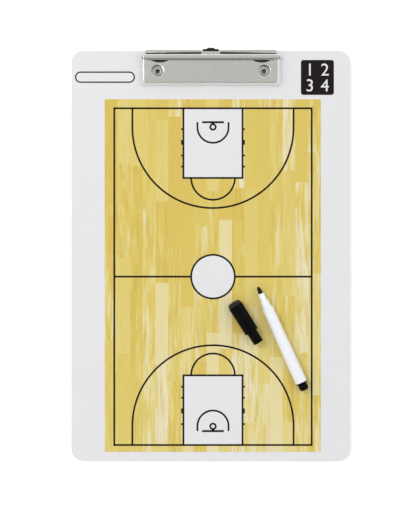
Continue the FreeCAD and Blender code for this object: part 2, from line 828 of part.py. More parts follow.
STOP_SHANK = f"{CHANNEL_HEIGHT} + clip_sheet - tab_gap"
tab_stop_rivet = turned(
    "tab_stop_rivet",
    [
        ("0", "0"),
        ("0", "stop_radius"),
        (STOP_SHANK, "stop_radius"),
        (STOP_SHANK, "stop_head_radius"),
        (f"{STOP_SHANK} + stop_head_thickness", "stop_head_radius"),
        (f"{STOP_SHANK} + stop_head_thickness", "0"),
    ],
)
place(tab_stop_rivet, along=f"{TOP_EDGE} - stop_setback", up=f"{FACE} + tab_gap", axis=-ALONG, turn="90")


# Marker: each piece is turned about the marker's axis, with station zero at the tail

BARREL_START = "plug_knob_length + plug_flange_length"
BARREL_END = f"{BARREL_START} + barrel_length"
COLLAR_END = f"{BARREL_END} + collar_length"
TUBE_END = f"{COLLAR_END} + tube_length"
NIB_TIP = f"{TUBE_END} + nib_proud"
HOLDER_START = f"{BARREL_END} - holder_insert"
SPIGOT = "barrel_bore_radius - seat_clearance"
NIB_BORE = "nib_radius + seat_clearance"
WRAP_RADIUS = "barrel_bore_radius - wrap_clearance"
WRAP_BORE = f"{WRAP_RADIUS} - wrap_thickness"
INK_RADIUS = f"{WRAP_BORE} - seat_clearance"
INK_START = f"{BARREL_START} + plug_insert + ink_end_gap"

marker_end_plug = turned(
    "marker_end_plug",
    [
        ("0", "0"),
        ("0", "plug_knob_radius"),
        ("plug_knob_length", "plug_knob_radius"),
        ("plug_knob_length", "barrel_radius"),
        (BARREL_START, "barrel_radius"),
        (BARREL_START, SPIGOT),
        (f"{BARREL_START} + plug_insert", SPIGOT),
        (f"{BARREL_START} + plug_insert", "0"),
    ],
)
round_edges(marker_end_plug, "plug_knob_end", "plug_knob_round", rim("0", "plug_knob_radius"))
marker_barrel = turned(
    "marker_barrel",
    [
        (BARREL_START, "barrel_bore_radius"),
        (BARREL_START, "barrel_radius"),
        (BARREL_END, "barrel_front_radius"),
        (BARREL_END, "barrel_bore_radius"),
    ],
)
round_edges(marker_barrel, "barrel_front", "barrel_round", rim(BARREL_END, "barrel_front_radius"))
marker_nib_holder = turned(
    "marker_nib_holder",
    [
        (HOLDER_START, NIB_BORE),
        (HOLDER_START, SPIGOT),
        (BARREL_END, SPIGOT),
        (BARREL_END, "collar_base_radius"),
        (COLLAR_END, "collar_tip_radius"),
        (COLLAR_END, "tube_base_radius"),
        (TUBE_END, "tube_tip_radius"),
        (TUBE_END, NIB_BORE),
    ],
)
marker_nib = turned(
    "marker_nib",
    [(HOLDER_START, "0"), (HOLDER_START, "nib_radius"), (NIB_TIP, "nib_radius"), (NIB_TIP, "0")],
)
round_edges(marker_nib, "nib_tip", "nib_round", rim(NIB_TIP, "nib_radius"))
marker_ink_core = turned(
    "marker_ink_core",
    [(INK_START, "0"), (INK_START, INK_RADIUS), (HOLDER_START, INK_RADIUS), (HOLDER_START, "0")],
)
marker_ink_wrap = turned(
    "marker_ink_wrap",
    [
        (INK_START, WRAP_BORE),
        (INK_START, WRAP_RADIUS),
        (HOLDER_START, WRAP_RADIUS),
        (HOLDER_START, WRAP_BORE),
    ],
)
marker_pieces = [
    marker_end_plug, marker_barrel, marker_nib_holder, marker_nib, marker_ink_core, marker_ink_wrap
]
for piece in marker_pieces:
    place(
        piece,
        across="marker_tail_across",
        along="marker_tail_along",
        up=f"{FACE} + lay_gap + barrel_radius",
        turn="90 + marker_turn",
    )


# Cap: its mouth slips over the marker's collar, with station zero at the mouth

MOUTH_BORE = "collar_base_radius + cap_fit_clearance"
MOUTH_RADIUS = f"{MOUTH_BORE} + cap_mouth_wall"
CAVITY_START = "cap_mouth_length + cap_shoulder"
HEAD_END = "cap_mouth_length + cap_head_length"
CAVITY_SEAT = "cap_cavity_radius - seat_clearance"
LINER_END = f"{CAVITY_START} + liner_length"

cap_shell = turned(
    "cap_shell",
    [
        ("0", MOUTH_BORE),
        ("0", MOUTH_RADIUS),
        ("cap_mouth_length", MOUTH_RADIUS),
        ("cap_mouth_length", "cap_head_base_radius"),
        (HEAD_END, "cap_head_radius"),
        (HEAD_END, "cap_cavity_radius"),
        (CAVITY_START, "cap_cavity_radius"),
        (CAVITY_START, MOUTH_BORE),
    ],
)
round_edges(cap_shell, "cap_head_edge", "cap_head_round", rim("cap_mouth_length", "cap_head_base_radius"))
cap_seal_liner = turned(
    "cap_seal_liner",
    [
        (CAVITY_START, "liner_bore_radius"),
        (CAVITY_START, CAVITY_SEAT),
        (LINER_END, CAVITY_SEAT),
        (LINER_END, "0"),
        (f"{LINER_END} - liner_end", "0"),
        (f"{LINER_END} - liner_end", "liner_bore_radius"),
    ],
)
cap_eraser_felt = turned(
    "cap_eraser_felt",
    [
        (LINER_END, "0"),
        (LINER_END, CAVITY_SEAT),
        (HEAD_END, CAVITY_SEAT),
        (HEAD_END, "felt_radius"),
        (f"{HEAD_END} + felt_proud", "felt_radius"),
        (f"{HEAD_END} + felt_proud", "0"),
    ],
)
round_edges(cap_eraser_felt, "felt_dome", "felt_round", rim(f"{HEAD_END} + felt_proud", "felt_radius"))
cap_pieces = [cap_shell, cap_seal_liner, cap_eraser_felt]
for piece in cap_pieces:
    place(
        piece,
        across="cap_mouth_across",
        along="cap_mouth_along",
        up=f"{FACE} + lay_gap + cap_head_radius",
        turn="90 + cap_turn",
    )


# Check the document, then write one file for each sub-part

doc.recompute()
sub_parts = [core_panel, dry_erase_film, back_film, clip_base_plate, tab_cover, clip_rivets, hinge_rod]
sub_parts += [clamp_plate] + springs + [hanging_tab, tab_stop_rivet] + marker_pieces + cap_pieces
for item in doc.Objects:
    if "Invalid" in item.State or "Error" in item.State:
        raise RuntimeError(f"{item.Label} failed: {item.State}")
for sub_part in sub_parts:
    if sub_part.Shape.isNull() or not sub_part.Shape.isValid():
        raise RuntimeError(f"{sub_part.Label} has no valid shape")
os.makedirs("parts", exist_ok=True)
for sub_part in sub_parts:
    sub_part.Shape.exportStep(f"parts/{sub_part.Label}.step")
    print(sub_part.Label, len(sub_part.Shape.Solids), "solid,", round(sub_part.Shape.Volume, 1), "cubic mm")
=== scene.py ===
import math

import bmesh
import bpy
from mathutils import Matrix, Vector, noise


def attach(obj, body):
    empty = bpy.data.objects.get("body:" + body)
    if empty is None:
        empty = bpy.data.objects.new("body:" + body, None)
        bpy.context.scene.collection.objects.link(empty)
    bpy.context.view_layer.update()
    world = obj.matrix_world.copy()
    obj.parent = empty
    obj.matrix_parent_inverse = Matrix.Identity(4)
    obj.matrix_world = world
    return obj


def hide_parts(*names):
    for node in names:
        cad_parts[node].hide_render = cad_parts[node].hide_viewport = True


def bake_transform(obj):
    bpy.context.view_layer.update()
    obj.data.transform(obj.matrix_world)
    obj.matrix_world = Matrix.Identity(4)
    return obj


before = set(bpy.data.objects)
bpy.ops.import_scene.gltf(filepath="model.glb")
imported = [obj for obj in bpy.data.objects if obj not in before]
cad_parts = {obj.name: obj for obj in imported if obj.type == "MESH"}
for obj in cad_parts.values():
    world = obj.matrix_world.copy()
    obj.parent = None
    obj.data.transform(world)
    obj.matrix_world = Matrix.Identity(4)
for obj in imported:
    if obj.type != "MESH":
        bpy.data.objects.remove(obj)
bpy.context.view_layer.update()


# Core panel: a stiff white polystyrene sheet, extruded and then die-cut with round corners.
# It carries the two films, and its matt cut edge shows as a thin band all round the board.

MM = 0.001


def linear(colour):
    """An sRGB hex colour as linear red, green, blue and alpha."""
    shares = [int(colour[spot:spot + 2], 16) / 255 for spot in (1, 3, 5)]
    return [share / 12.92 if share <= 0.04045 else ((share + 0.055) / 1.055) ** 2.4 for share in shares] + [1]


def feed(tree, made, inputs):
    """Set a node's inputs, each to a value, an output, or the first output of another node."""
    for name, source in inputs.items():
        if isinstance(source, bpy.types.Node):
            source = source.outputs[0]
        if isinstance(source, bpy.types.NodeSocket):
            tree.links.new(source, made.inputs[name])
        else:
            made.inputs[name].default_value = source


def node(tree, kind, inputs=None, **settings):
    """Add a node with its settings and links."""
    made = tree.nodes.new(kind)
    for name, setting in settings.items():
        setattr(made, name, setting)
    feed(tree, made, inputs or {})
    return made


def new_finish(name):
    """A new material with its node tree, its shader and the place on the object that its patterns read."""
    material = bpy.data.materials.new(name)
    material.use_nodes = True
    tree = material.node_tree
    return material, tree, tree.nodes["Principled BSDF"], node(tree, "ShaderNodeTexCoord").outputs["Object"]


def mottled(name, grain, detail, dark, light, roughness, relief=None, coarse=0.5, worn=(0, 1), **sockets):
    """A finish with one mottled pattern, of a grain in mm, that moves its tone between two colours.

    Where the roughness is a range, the pattern moves it between two worn levels. It also moves the relief,
    which is a strength and a depth in mm.
    """
    material, tree, shader, where = new_finish(name)
    mottle = node(
        tree,
        "ShaderNodeTexNoise",
        {"Vector": where, "Scale": 1 / (grain * MM), "Detail": detail, "Roughness": coarse},
    )
    tone = node(tree, "ShaderNodeMix", {0: mottle, 6: linear(dark), 7: linear(light)}, data_type="RGBA")
    if isinstance(roughness, tuple):
        levels = dict(zip(("From Min", "From Max", "To Min", "To Max"), worn + roughness))
        roughness = node(tree, "ShaderNodeMapRange", {"Value": mottle, **levels})
    feed(tree, shader, {"Base Color": tone.outputs[2], "Roughness": roughness, **sockets})
    if relief:
        strength, depth = relief
        bump = node(tree, "ShaderNodeBump", {"Height": mottle, "Strength": strength, "Distance": depth * MM})
        feed(tree, shader, {"Normal": bump})
    return material


def dress(node_name, material):
    """Give a node that keeps its shape its finish."""
    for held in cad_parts[node_name].material_slots:
        held.material = material


# Extruded polystyrene: nearly white, with a matt, faintly grainy edge where the die cut it.
core_plastic = mottled(
    "extruded_polystyrene",
    grain=0.7,
    detail=3,
    dark="#D5D8D9",
    light="#E4E6E7",
    roughness=0.55,
    relief=(0.4, 0.05),
    IOR=1.59,
)
dress("core_panel", core_plastic)


# Back film: a plain white film pressed on the back so that the panel stays flat.
# It is clear of the rivets' clinched ends, and its satin face has a fine pebble grain.

BOARD = {"left": -120, "right": 120, "front": -176.5, "rear": 176.5, "radius": 10}
FILM = 0.3
FILM_EDGE = 0.12
RIVET_SPOTS = [(-45.7, 158.5), (45.7, 158.5)]
CLINCH_CLEAR = 3.8

# Satin film: white, less glossy than the front, with an embossed pebble about 0.8 mm across.
satin_film, tree, shader, where = new_finish("embossed_satin_film")
pebble = node(tree, "ShaderNodeTexVoronoi", {"Vector": where, "Scale": 1 / (0.8 * MM)}, feature="SMOOTH_F1")
haze = node(tree, "ShaderNodeTexNoise", {"Vector": where, "Scale": 1 / (35 * MM), "Detail": 2})
tone = node(tree, "ShaderNodeMix", {0: haze, 6: linear("#DCDEDF"), 7: linear("#E6E8E8")}, data_type="RGBA")
relief = node(tree, "ShaderNodeBump", {"Height": pebble, "Strength": 0.25, "Distance": 0.05 * MM})
feed(tree, shader, {"Base Color": tone.outputs[2], "Roughness": 0.42, "IOR": 1.5, "Normal": relief})


def round_box(left, right, front, rear, radius, steps=10):
    """The outline of a rectangle with round corners, for any distance that it is drawn in."""
    corners = [
        (right - radius, rear - radius, 0),
        (left + radius, rear - radius, 90),
        (left + radius, front + radius, 180),
        (right - radius, front + radius, 270),
    ]

    def outline(inset):
        reach = radius - inset
        line = []
        for across, along, start in corners:
            turns = [math.radians(start + 90 * step / steps) for step in range(steps + 1)]
            line += [(across + reach * math.cos(turn), along + reach * math.sin(turn)) for turn in turns]
        return line

    return outline


def round_hole(across, along, radius, steps=48):
    """The outline of a round hole, which runs the other way round and opens as it is drawn in."""
    turns = [-math.tau * step / steps for step in range(steps)]

    def outline(inset):
        reach = radius + inset
        return [(across + reach * math.cos(turn), along + reach * math.sin(turn)) for turn in turns]

    return outline


def as_mesh(shape, material, crease=40):
    """A mesh from a finished shape, smooth except at creases of more degrees than this."""
    mesh = bpy.data.meshes.new(material.name)
    shape.to_mesh(mesh)
    shape.free()
    mesh.shade_smooth()
    mesh.set_sharp_from_angle(angle=math.radians(crease))
    mesh.materials.append(material)
    return mesh


def plate(material, outlines, bottom, top, edge=0, steps=3):
    """A flat sheet with rounded edges. The first outline is its outside and the rest are holes."""
    turns = [math.radians(90 * step / steps) for step in range(steps + 1)]
    below = [(edge * (1 - math.sin(turn)), bottom + edge * (1 - math.cos(turn))) for turn in turns]
    above = [(inset, bottom + top - height) for inset, height in reversed(below)]
    stations = [(2 * edge, bottom)] + below + above + [(2 * edge, top)]
    if edge == 0:
        stations = [(0, bottom), (0, top)]
    shape = bmesh.new()
    rims = ([], [])
    for outline in outlines:
        rings = [
            [shape.verts.new((x * MM, y * MM, height * MM)) for x, y in outline(inset)]
            for inset, height in stations
        ]
        for lower, upper in zip(rings, rings[1:]):
            for spot in range(len(lower)):
                shape.faces.new((lower[spot - 1], lower[spot], upper[spot], upper[spot - 1]))
        for rim, ring in zip(rims, (rings[0], rings[-1])):
            rim += [shape.edges.get((ring[spot - 1], ring[spot])) for spot in range(len(ring))]
    for rim, normal in zip(rims, ((0, 0, -1), (0, 0, 1))):
        bmesh.ops.triangle_fill(shape, use_beauty=True, edges=rim, normal=normal)
    bmesh.ops.recalc_face_normals(shape, faces=shape.faces)
    return as_mesh(shape, material)


def placed(name, data):
    """A new object in the scene."""
    made = bpy.data.objects.new(name, data)
    bpy.context.scene.collection.objects.link(made)
    return made


def piece(name, mesh, body, slot, *nodes):
    """A piece of the object that rides on a body and stands for the nodes it replaces."""
    mesh.name = name
    made = placed(name, mesh)
    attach(made, body)
    if nodes:
        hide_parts(*nodes)


board_outline = round_box(**BOARD)
back_holes = [round_hole(*spot, CLINCH_CLEAR) for spot in RIVET_SPOTS]
back_mesh = plate(satin_film, [board_outline] + back_holes, 0, FILM, FILM_EDGE)
piece("back_film_sheet", back_mesh, "board", "plain_film", "back_film")


# Dry-erase film: a glossy polyester film laminated on the front, over white.
# Marker ink wipes off it, and wiping leaves only a faint haze in its gloss.

FACE = 3
SHANK_CLEAR = 2.52

# Glossy polyester: cool white, with a soft waviness and a cloudy haze in its gloss.
gloss_film, tree, shader, where = new_finish("glossy_polyester_film")
wave = node(tree, "ShaderNodeTexNoise", {"Vector": where, "Scale": 1 / (14 * MM), "Detail": 2})
haze = node(tree, "ShaderNodeTexNoise", {"Vector": where, "Scale": 1 / (30 * MM), "Detail": 4})
tone = node(tree, "ShaderNodeMix", {0: haze, 6: linear("#E2E2E5"), 7: linear("#E5E5E7")}, data_type="RGBA")
gloss = node(tree, "ShaderNodeMapRange", {"Value": haze, "To Min": 0.24, "To Max": 0.3})
relief = node(tree, "ShaderNodeBump", {"Height": wave, "Strength": 0.06, "Distance": 0.1 * MM})
feed(tree, shader, {"Base Color": tone.outputs[2], "Roughness": gloss, "IOR": 1.5, "Normal": relief})

film_holes = [round_hole(*spot, SHANK_CLEAR) for spot in RIVET_SPOTS]
film_mesh = plate(gloss_film, [board_outline] + film_holes, FACE - FILM, FACE, FILM_EDGE)
piece("front_film_sheet", film_mesh, "board", "printed_film", "dry_erase_film")


# Floor print: the picture of a plank floor, printed on the film round the court.
# The two keys and the centre circle are left white.

PRINT = {"left": -91.4, "right": 94.8, "front": -168.8, "rear": 134.9}
PRINT_CORNER = 0.3
PRINT_THICK = 0.02
PLANK_WIDTH = 10.95
PLANK_SHORTEST = 70
PLANK_LONGEST = 150
PLANK_SEED = 7
FLOOR_LEAD = 400
PATTERN_SHIFT = 60
FLAME = {"width": 4, "length": 38}
FIBRE = {"width": 1.2, "length": 24}
COURT_ACROSS = 1.87
COURT_ALONG = -17.9
COURT_HALF_WIDTH = 85
COURT_HALF_LENGTH = 145
KEY_HALF = 25.45
KEY_DEPTH = 60
CIRCLE_RADIUS = 18.8

# Printed maple: golden to pale straw planks with no dark joints, each with its own tint.
# Soft pale and golden flames run along the figured planks, with fine darker fibres.
# The floor fades towards the front.
maple_ink, tree, shader, where = new_finish("printed_maple_planks")
in_mm = node(tree, "ShaderNodeVectorMath", {0: where, "Scale": 1 / MM}, operation="SCALE")
spot = node(tree, "ShaderNodeSeparateXYZ", {0: in_mm}).outputs
inward = node(tree, "ShaderNodeMath", {0: spot["X"], 1: -PRINT["left"]}, operation="ADD")
planks_over = node(tree, "ShaderNodeMath", {0: inward, 1: PLANK_WIDTH}, operation="DIVIDE")
column = node(tree, "ShaderNodeMath", {0: planks_over}, operation="FLOOR")
column_chance = node(tree, "ShaderNodeTexWhiteNoise", {"W": column}, noise_dimensions="1D").outputs
plank_length = node(
    tree,
    "ShaderNodeMapRange",
    {"Value": column_chance["Value"], "To Min": PLANK_SHORTEST, "To Max": PLANK_LONGEST},
)
column_shares = node(tree, "ShaderNodeSeparateColor", {0: column_chance["Color"]}).outputs
lead = node(
    tree,
    "ShaderNodeMath",
    {0: column_shares["Green"], 1: PLANK_LONGEST, 2: FLOOR_LEAD},
    operation="MULTIPLY_ADD",
)
along = node(tree, "ShaderNodeMath", {0: spot["Y"], 1: lead}, operation="ADD")
planks_along = node(tree, "ShaderNodeMath", {0: along, 1: plank_length}, operation="DIVIDE")
row = node(tree, "ShaderNodeMath", {0: planks_along}, operation="FLOOR")
plank = node(tree, "ShaderNodeCombineXYZ", {"X": column, "Y": row, "Z": PLANK_SEED})
chance = node(tree, "ShaderNodeTexWhiteNoise", {"Vector": plank}, noise_dimensions="3D").outputs
plank_shares = node(tree, "ShaderNodeSeparateColor", {0: chance["Color"]}).outputs
moved = node(tree, "ShaderNodeVectorMath", {0: chance["Color"], "Scale": PATTERN_SHIFT}, operation="SCALE")
tongues = node(
    tree,
    "ShaderNodeVectorMath",
    {0: in_mm, 1: (1 / FLAME["width"], 1 / FLAME["length"], 0), 2: moved},
    operation="MULTIPLY_ADD",
)
flame = node(
    tree,
    "ShaderNodeTexNoise",
    {"Vector": tongues, "Scale": 1, "Detail": 3, "Roughness": 0.55, "Distortion": 0.7},
)
figured = node(
    tree,
    "ShaderNodeMapRange",
    {"Value": plank_shares["Blue"], "From Min": 0.3, "From Max": 0.75, "To Max": 2.8},
)
leaning = node(tree, "ShaderNodeMath", {0: flame, 1: 0.5}, operation="SUBTRACT")
swing = node(tree, "ShaderNodeMath", {0: leaning, 1: figured}, operation="MULTIPLY")
faded = node(
    tree,
    "ShaderNodeMapRange",
    {"Value": spot["Y"], "From Min": PRINT["rear"], "From Max": PRINT["front"], "To Max": 0.28},
)
even = node(tree, "ShaderNodeMath", {0: chance["Value"], 1: 0.75, 2: faded}, operation="MULTIPLY_ADD")
shade = node(tree, "ShaderNodeMath", {0: even, 1: swing}, operation="ADD")
tint = node(tree, "ShaderNodeValToRGB", {0: shade})
straw_tints = [(0, "#D6BB56"), (0.35, "#DCC564"), (0.6, "#E0CE7C"), (0.8, "#E4D698"), (1, "#E8DEB8")]


def set_stops(ramp, stops):
    """Give a colour ramp its stops, each a place from 0 to 1 and a colour."""
    for place, colour in stops:
        stop = ramp.elements.new(place) if 0 < place < 1 else ramp.elements[-int(place)]
        stop.color = colour


set_stops(tint.color_ramp, [(place, linear(colour)) for place, colour in straw_tints])
fine = node(
    tree,
    "ShaderNodeVectorMath",
    {0: in_mm, 1: (1 / FIBRE["width"], 1 / FIBRE["length"], 0), 2: moved},
    operation="MULTIPLY_ADD",
)
fibre = node(
    tree,
    "ShaderNodeTexNoise",
    {"Vector": fine, "Scale": 1, "Detail": 3, "Roughness": 0.6, "Distortion": 0.4},
)
fibre_line = node(
    tree,
    "ShaderNodeMapRange",
    {"Value": fibre, "From Min": 0.5, "From Max": 0.74, "To Max": 0.5},
)
fibre_share = node(
    tree,
    "ShaderNodeMapRange",
    {"Value": plank_shares["Blue"], "From Min": 0.2, "From Max": 0.7, "To Min": 0.3, "To Max": 1},
)
fibre_depth = node(tree, "ShaderNodeMath", {0: fibre_line, 1: fibre_share}, operation="MULTIPLY")
grained = node(tree, "ShaderNodeMix", {0: fibre_depth, 6: tint, 7: linear("#B99A42")}, data_type="RGBA")
feed(tree, shader, {"Base Color": grained.outputs[2], "Roughness": 0.28, "IOR": 1.5})


def box_hole(left, right, front, rear):
    """The outline of a square-cornered hole."""
    def outline(inset):
        low, high = front - inset, rear + inset
        return [(left - inset, low), (left - inset, high), (right + inset, high), (right + inset, low)]

    return outline


KEYS = [(COURT_ALONG + end * COURT_HALF_LENGTH, -end) for end in (1, -1)]
print_holes = [round_hole(COURT_ACROSS, COURT_ALONG, CIRCLE_RADIUS, 96)]
for baseline, inward_way in KEYS:
    near_and_far = sorted((baseline, baseline + inward_way * KEY_DEPTH))
    print_holes.append(box_hole(COURT_ACROSS - KEY_HALF, COURT_ACROSS + KEY_HALF, *near_and_far))
print_outline = round_box(**PRINT, radius=PRINT_CORNER, steps=3)
print_mesh = plate(maple_ink, [print_outline] + print_holes, FACE, FACE + PRINT_THICK)
piece("floor_print", print_mesh, "board", "printed_film")


# Court lines: the markings of a basketball court, printed over the floor in one dark ink.
# The baselines and the ends of the keys run half a line's width over, so that corners meet square.

LINE_WIDTH = 1.6
BOARD_WIDTH = 1.75
INK_HEIGHT = 0.045
INK_MIDDLE = FACE + INK_HEIGHT / 2
SPARE = LINE_WIDTH / 2
LONG_ARC = {"depth": 16.5, "radius": 69.4}
SHORT_ARC = {"depth": 16.3, "radius": 13.4}
HOOP = {"depth": 16.1, "radius": 2.35}
BACKBOARD = {"depth": 12, "half": 9.4}
STRUT = [(-1.5, 12.3), (1.5, 12.3), (0.5, 14.1), (-0.5, 14.1)]

# Printing ink: a warm near-black that dries a little duller than the film.
line_ink = mottled(
    "dark_printing_ink",
    grain=0.5,
    detail=2,
    dark="#120C0A",
    light="#1E1512",
    roughness=0.4,
    **{"Specular IOR Level": 0.15},
)


def new_tree(name, sockets):
    """An empty Geometry Nodes tree with named inputs, and the outputs of its input node."""
    tree = bpy.data.node_groups.new(name, "GeometryNodeTree")
    tree.interface.new_socket("Geometry", in_out="OUTPUT", socket_type="NodeSocketGeometry")
    for label, kind in {"Geometry": "NodeSocketGeometry", **sockets}.items():
        tree.interface.new_socket(label, in_out="INPUT", socket_type=kind)
    return tree, node(tree, "NodeGroupInput").outputs


def end_tree(tree, geometry, material, picked=None, picked_material=None):
    """End a tree with real geometry in its material, and with another one on the faces that are picked."""
    real = node(tree, "GeometryNodeRealizeInstances", {0: geometry})
    dressed = node(tree, "GeometryNodeSetMaterial", {"Geometry": real, "Material": material})
    if picked:
        again = {"Geometry": dressed, "Selection": picked, "Material": picked_material}
        dressed = node(tree, "GeometryNodeSetMaterial", again)
    node(tree, "NodeGroupOutput", {"Geometry": dressed})


def settled(carrier):
    """The plain mesh of an object with its modifiers applied. The object itself is cleared away."""
    ready = bpy.context.evaluated_depsgraph_get()
    mesh = bpy.data.meshes.new_from_object(carrier.evaluated_get(ready), depsgraph=ready)
    bpy.data.objects.remove(carrier)
    return mesh


def grown(source, tree, values):
    """The plain mesh that a Geometry Nodes tree makes from a source mesh."""
    carrier = placed(tree.name, source)
    modifier = carrier.modifiers.new(tree.name, "NODES")
    modifier.node_group = tree
    for socket in tree.interface.items_tree:
        if socket.in_out == "INPUT" and socket.name in values:
            modifier[socket.identifier] = values[socket.name]
    return settled(carrier)


def strung(paths):
    """A mesh of bare edges along paths in mm. A path that ends where it starts is closed."""
    spots = []
    edges = []
    for path in paths:
        closed = path[0] == path[-1]
        first = len(spots)
        spots += [Vector(spot) * MM for spot in (path[:-1] if closed else path)]
        edges += [(one, one + 1) for one in range(first, len(spots) - 1)]
        if closed:
            edges.append((len(spots) - 1, first))
    mesh = bpy.data.meshes.new("paths")
    mesh.from_pydata(spots, edges, [])
    return mesh


line_tree, given = new_tree(
    "printed_line",
    {"Line width": "NodeSocketFloat", "Ink height": "NodeSocketFloat", "Ink": "NodeSocketMaterial"},
)
curve = node(line_tree, "GeometryNodeMeshToCurve", {0: given["Geometry"]})
level = node(line_tree, "GeometryNodeSetCurveNormal", {0: curve}, mode="Z_UP")
section = node(
    line_tree,
    "GeometryNodeCurvePrimitiveQuadrilateral",
    {"Width": given["Line width"], "Height": given["Ink height"]},
)
drawn = node(
    line_tree,
    "GeometryNodeCurveToMesh",
    {"Curve": level, "Profile Curve": section, "Fill Caps": True},
)
end_tree(line_tree, drawn, given["Ink"])


def arc(along, radius, finish, steps=64):
    """Points on an arc round the middle of the court, from its right side to an angle in degrees."""
    turns = [math.radians(finish * step / steps) for step in range(steps + 1)]
    return [(COURT_ACROSS + radius * math.cos(turn), along + radius * math.sin(turn)) for turn in turns]


def ring(along, radius, steps):
    """Points on a closed circle round the middle of the court."""
    round_it = arc(along, radius, 360, steps)
    return round_it[:-1] + round_it[:1]


def in_half(key, across, depth):
    """A point of one half of the court, by its place across and its depth from that half's baseline."""
    baseline, inward_way = key
    return (COURT_ACROSS + across, baseline + inward_way * depth)


def printed(name, paths, width):
    """Print lines of this width along paths on the film's face."""
    raised = [[(*spot, INK_MIDDLE) for spot in path] for path in paths]
    values = {"Line width": width * MM, "Ink height": INK_HEIGHT * MM, "Ink": line_ink}
    piece(name, grown(strung(raised), line_tree, values), "board", "printed_film")


def inked(name, *outlines):
    """Print a patch of dark ink on the film's face, from its outline and those of its holes."""
    piece(name, plate(line_ink, outlines, FACE, FACE + INK_HEIGHT), "board", "printed_film")


left = COURT_ACROSS - COURT_HALF_WIDTH
right = COURT_ACROSS + COURT_HALF_WIDTH
front = COURT_ALONG - COURT_HALF_LENGTH
rear = COURT_ALONG + COURT_HALF_LENGTH
court_paths = [
    [(left - SPARE, rear), (right + SPARE, rear)],
    [(left - SPARE, front), (right + SPARE, front)],
    [(left, front), (left, rear)],
    [(right, front), (right, rear)],
    [(left, COURT_ALONG), (COURT_ACROSS - CIRCLE_RADIUS, COURT_ALONG)],
    [(COURT_ACROSS + CIRCLE_RADIUS, COURT_ALONG), (right, COURT_ALONG)],
    ring(COURT_ALONG, CIRCLE_RADIUS, 96),
]
backboard_paths = []
for key in KEYS:
    baseline, inward_way = key
    half_turn = 180 * inward_way
    for side in (-1, 1):
        court_paths.append([in_half(key, side * KEY_HALF, 0), in_half(key, side * KEY_HALF, KEY_DEPTH)])
    key_ends = [in_half(key, side * (KEY_HALF + SPARE), KEY_DEPTH) for side in (-1, 1)]
    court_paths.append(key_ends)
    court_paths.append(arc(baseline + inward_way * KEY_DEPTH, CIRCLE_RADIUS, half_turn))
    for bow, foot_depth, steps in ((LONG_ARC, 0, 96), (SHORT_ARC, BACKBOARD["depth"], 64)):
        feet = [in_half(key, side * bow["radius"], foot_depth) for side in (1, -1)]
        bend = arc(baseline + inward_way * bow["depth"], bow["radius"], half_turn, steps)
        court_paths.append(feet[:1] + bend + feet[1:])
    court_paths.append(ring(baseline + inward_way * HOOP["depth"], HOOP["radius"], 48))
    backboard_paths.append([in_half(key, side * BACKBOARD["half"], BACKBOARD["depth"]) for side in (-1, 1)])
printed("court_lines", court_paths, LINE_WIDTH)
printed("court_backboards", backboard_paths, BOARD_WIDTH)
for label, key in zip(("far", "near"), KEYS):
    strut = [in_half(key, *corner) for corner in STRUT][::key[1]]
    inked(f"hoop_strut_{label}", lambda inset: strut)


# Lane marks: short bars outside the long sides of each key, where players line up.
# They are printed with the court lines, and the second of each four is a wide block.

MARK_LENGTH = 1.2
MARKS = [(18, LINE_WIDTH), (29.35, 4.3), (40.7, LINE_WIDTH), (50.2, LINE_WIDTH)]
MARK_OUT = KEY_HALF + LINE_WIDTH / 2 + MARK_LENGTH / 2

mark_tree, given = new_tree(
    "lane_marks",
    {"Ink": "NodeSocketMaterial", "Bar length": "NodeSocketFloat", "Ink height": "NodeSocketFloat"},
)
width = node(mark_tree, "GeometryNodeInputNamedAttribute", {"Name": "bar_width"}, data_type="FLOAT")
size = node(
    mark_tree,
    "ShaderNodeCombineXYZ",
    {"X": given["Bar length"], "Y": width, "Z": given["Ink height"]},
)
bar = node(mark_tree, "GeometryNodeMeshCube", {"Size": (1, 1, 1)})
bars = node(
    mark_tree,
    "GeometryNodeInstanceOnPoints",
    {"Points": given["Geometry"], "Instance": bar, "Scale": size},
)
end_tree(mark_tree, bars, given["Ink"])

mark_spots = []
mark_widths = []
for key in KEYS:
    for side in (-1, 1):
        for depth, bar_width in MARKS:
            mark_spots.append(Vector((*in_half(key, side * MARK_OUT, depth), INK_MIDDLE)) * MM)
            mark_widths.append(bar_width * MM)
mark_points = bpy.data.meshes.new("lane_mark_points")
mark_points.from_pydata(mark_spots, [], [])
mark_points.attributes.new("bar_width", "FLOAT", "POINT").data.foreach_set("value", mark_widths)
mark_values = {"Ink": line_ink, "Bar length": MARK_LENGTH * MM, "Ink height": INK_HEIGHT * MM}
piece("lane_marks", grown(mark_points, mark_tree, mark_values), "board", "printed_film")


# Printed fields: an empty name field with a pill-shaped frame left of the clip.
# A dark square right of the clip has the numbers of a game's four quarters in white.

FRAME_WIDTH = 1.15
PILL = {"left": -117, "right": -65.3, "front": 149, "rear": 158.8, "radius": 4.85}
SQUARE = {"left": 77.6, "right": 106, "front": 138.6, "rear": 168.7}
SQUARE_CORNER = 2.2
NUMERAL_SIZE = 15
NUMERAL_ACROSS = 13
NUMERAL_ALONG = 13.6
NUMERAL_HALF_THICK = 0.01


def pill_hole(inset):
    """The inside of the pill's frame, which runs the other way round."""
    return round_box(**PILL)(FRAME_WIDTH - inset)[::-1]


inked("name_field", round_box(**PILL), pill_hole)
inked("quarter_field", round_box(**SQUARE, radius=SQUARE_CORNER))

# White printing ink: opaque, with the same dull gloss as the dark ink.
white_ink = mottled(
    "white_printing_ink",
    grain=0.5,
    detail=2,
    dark="#DEDFE0",
    light="#EDEEEE",
    roughness=0.35,
    IOR=1.5,
)

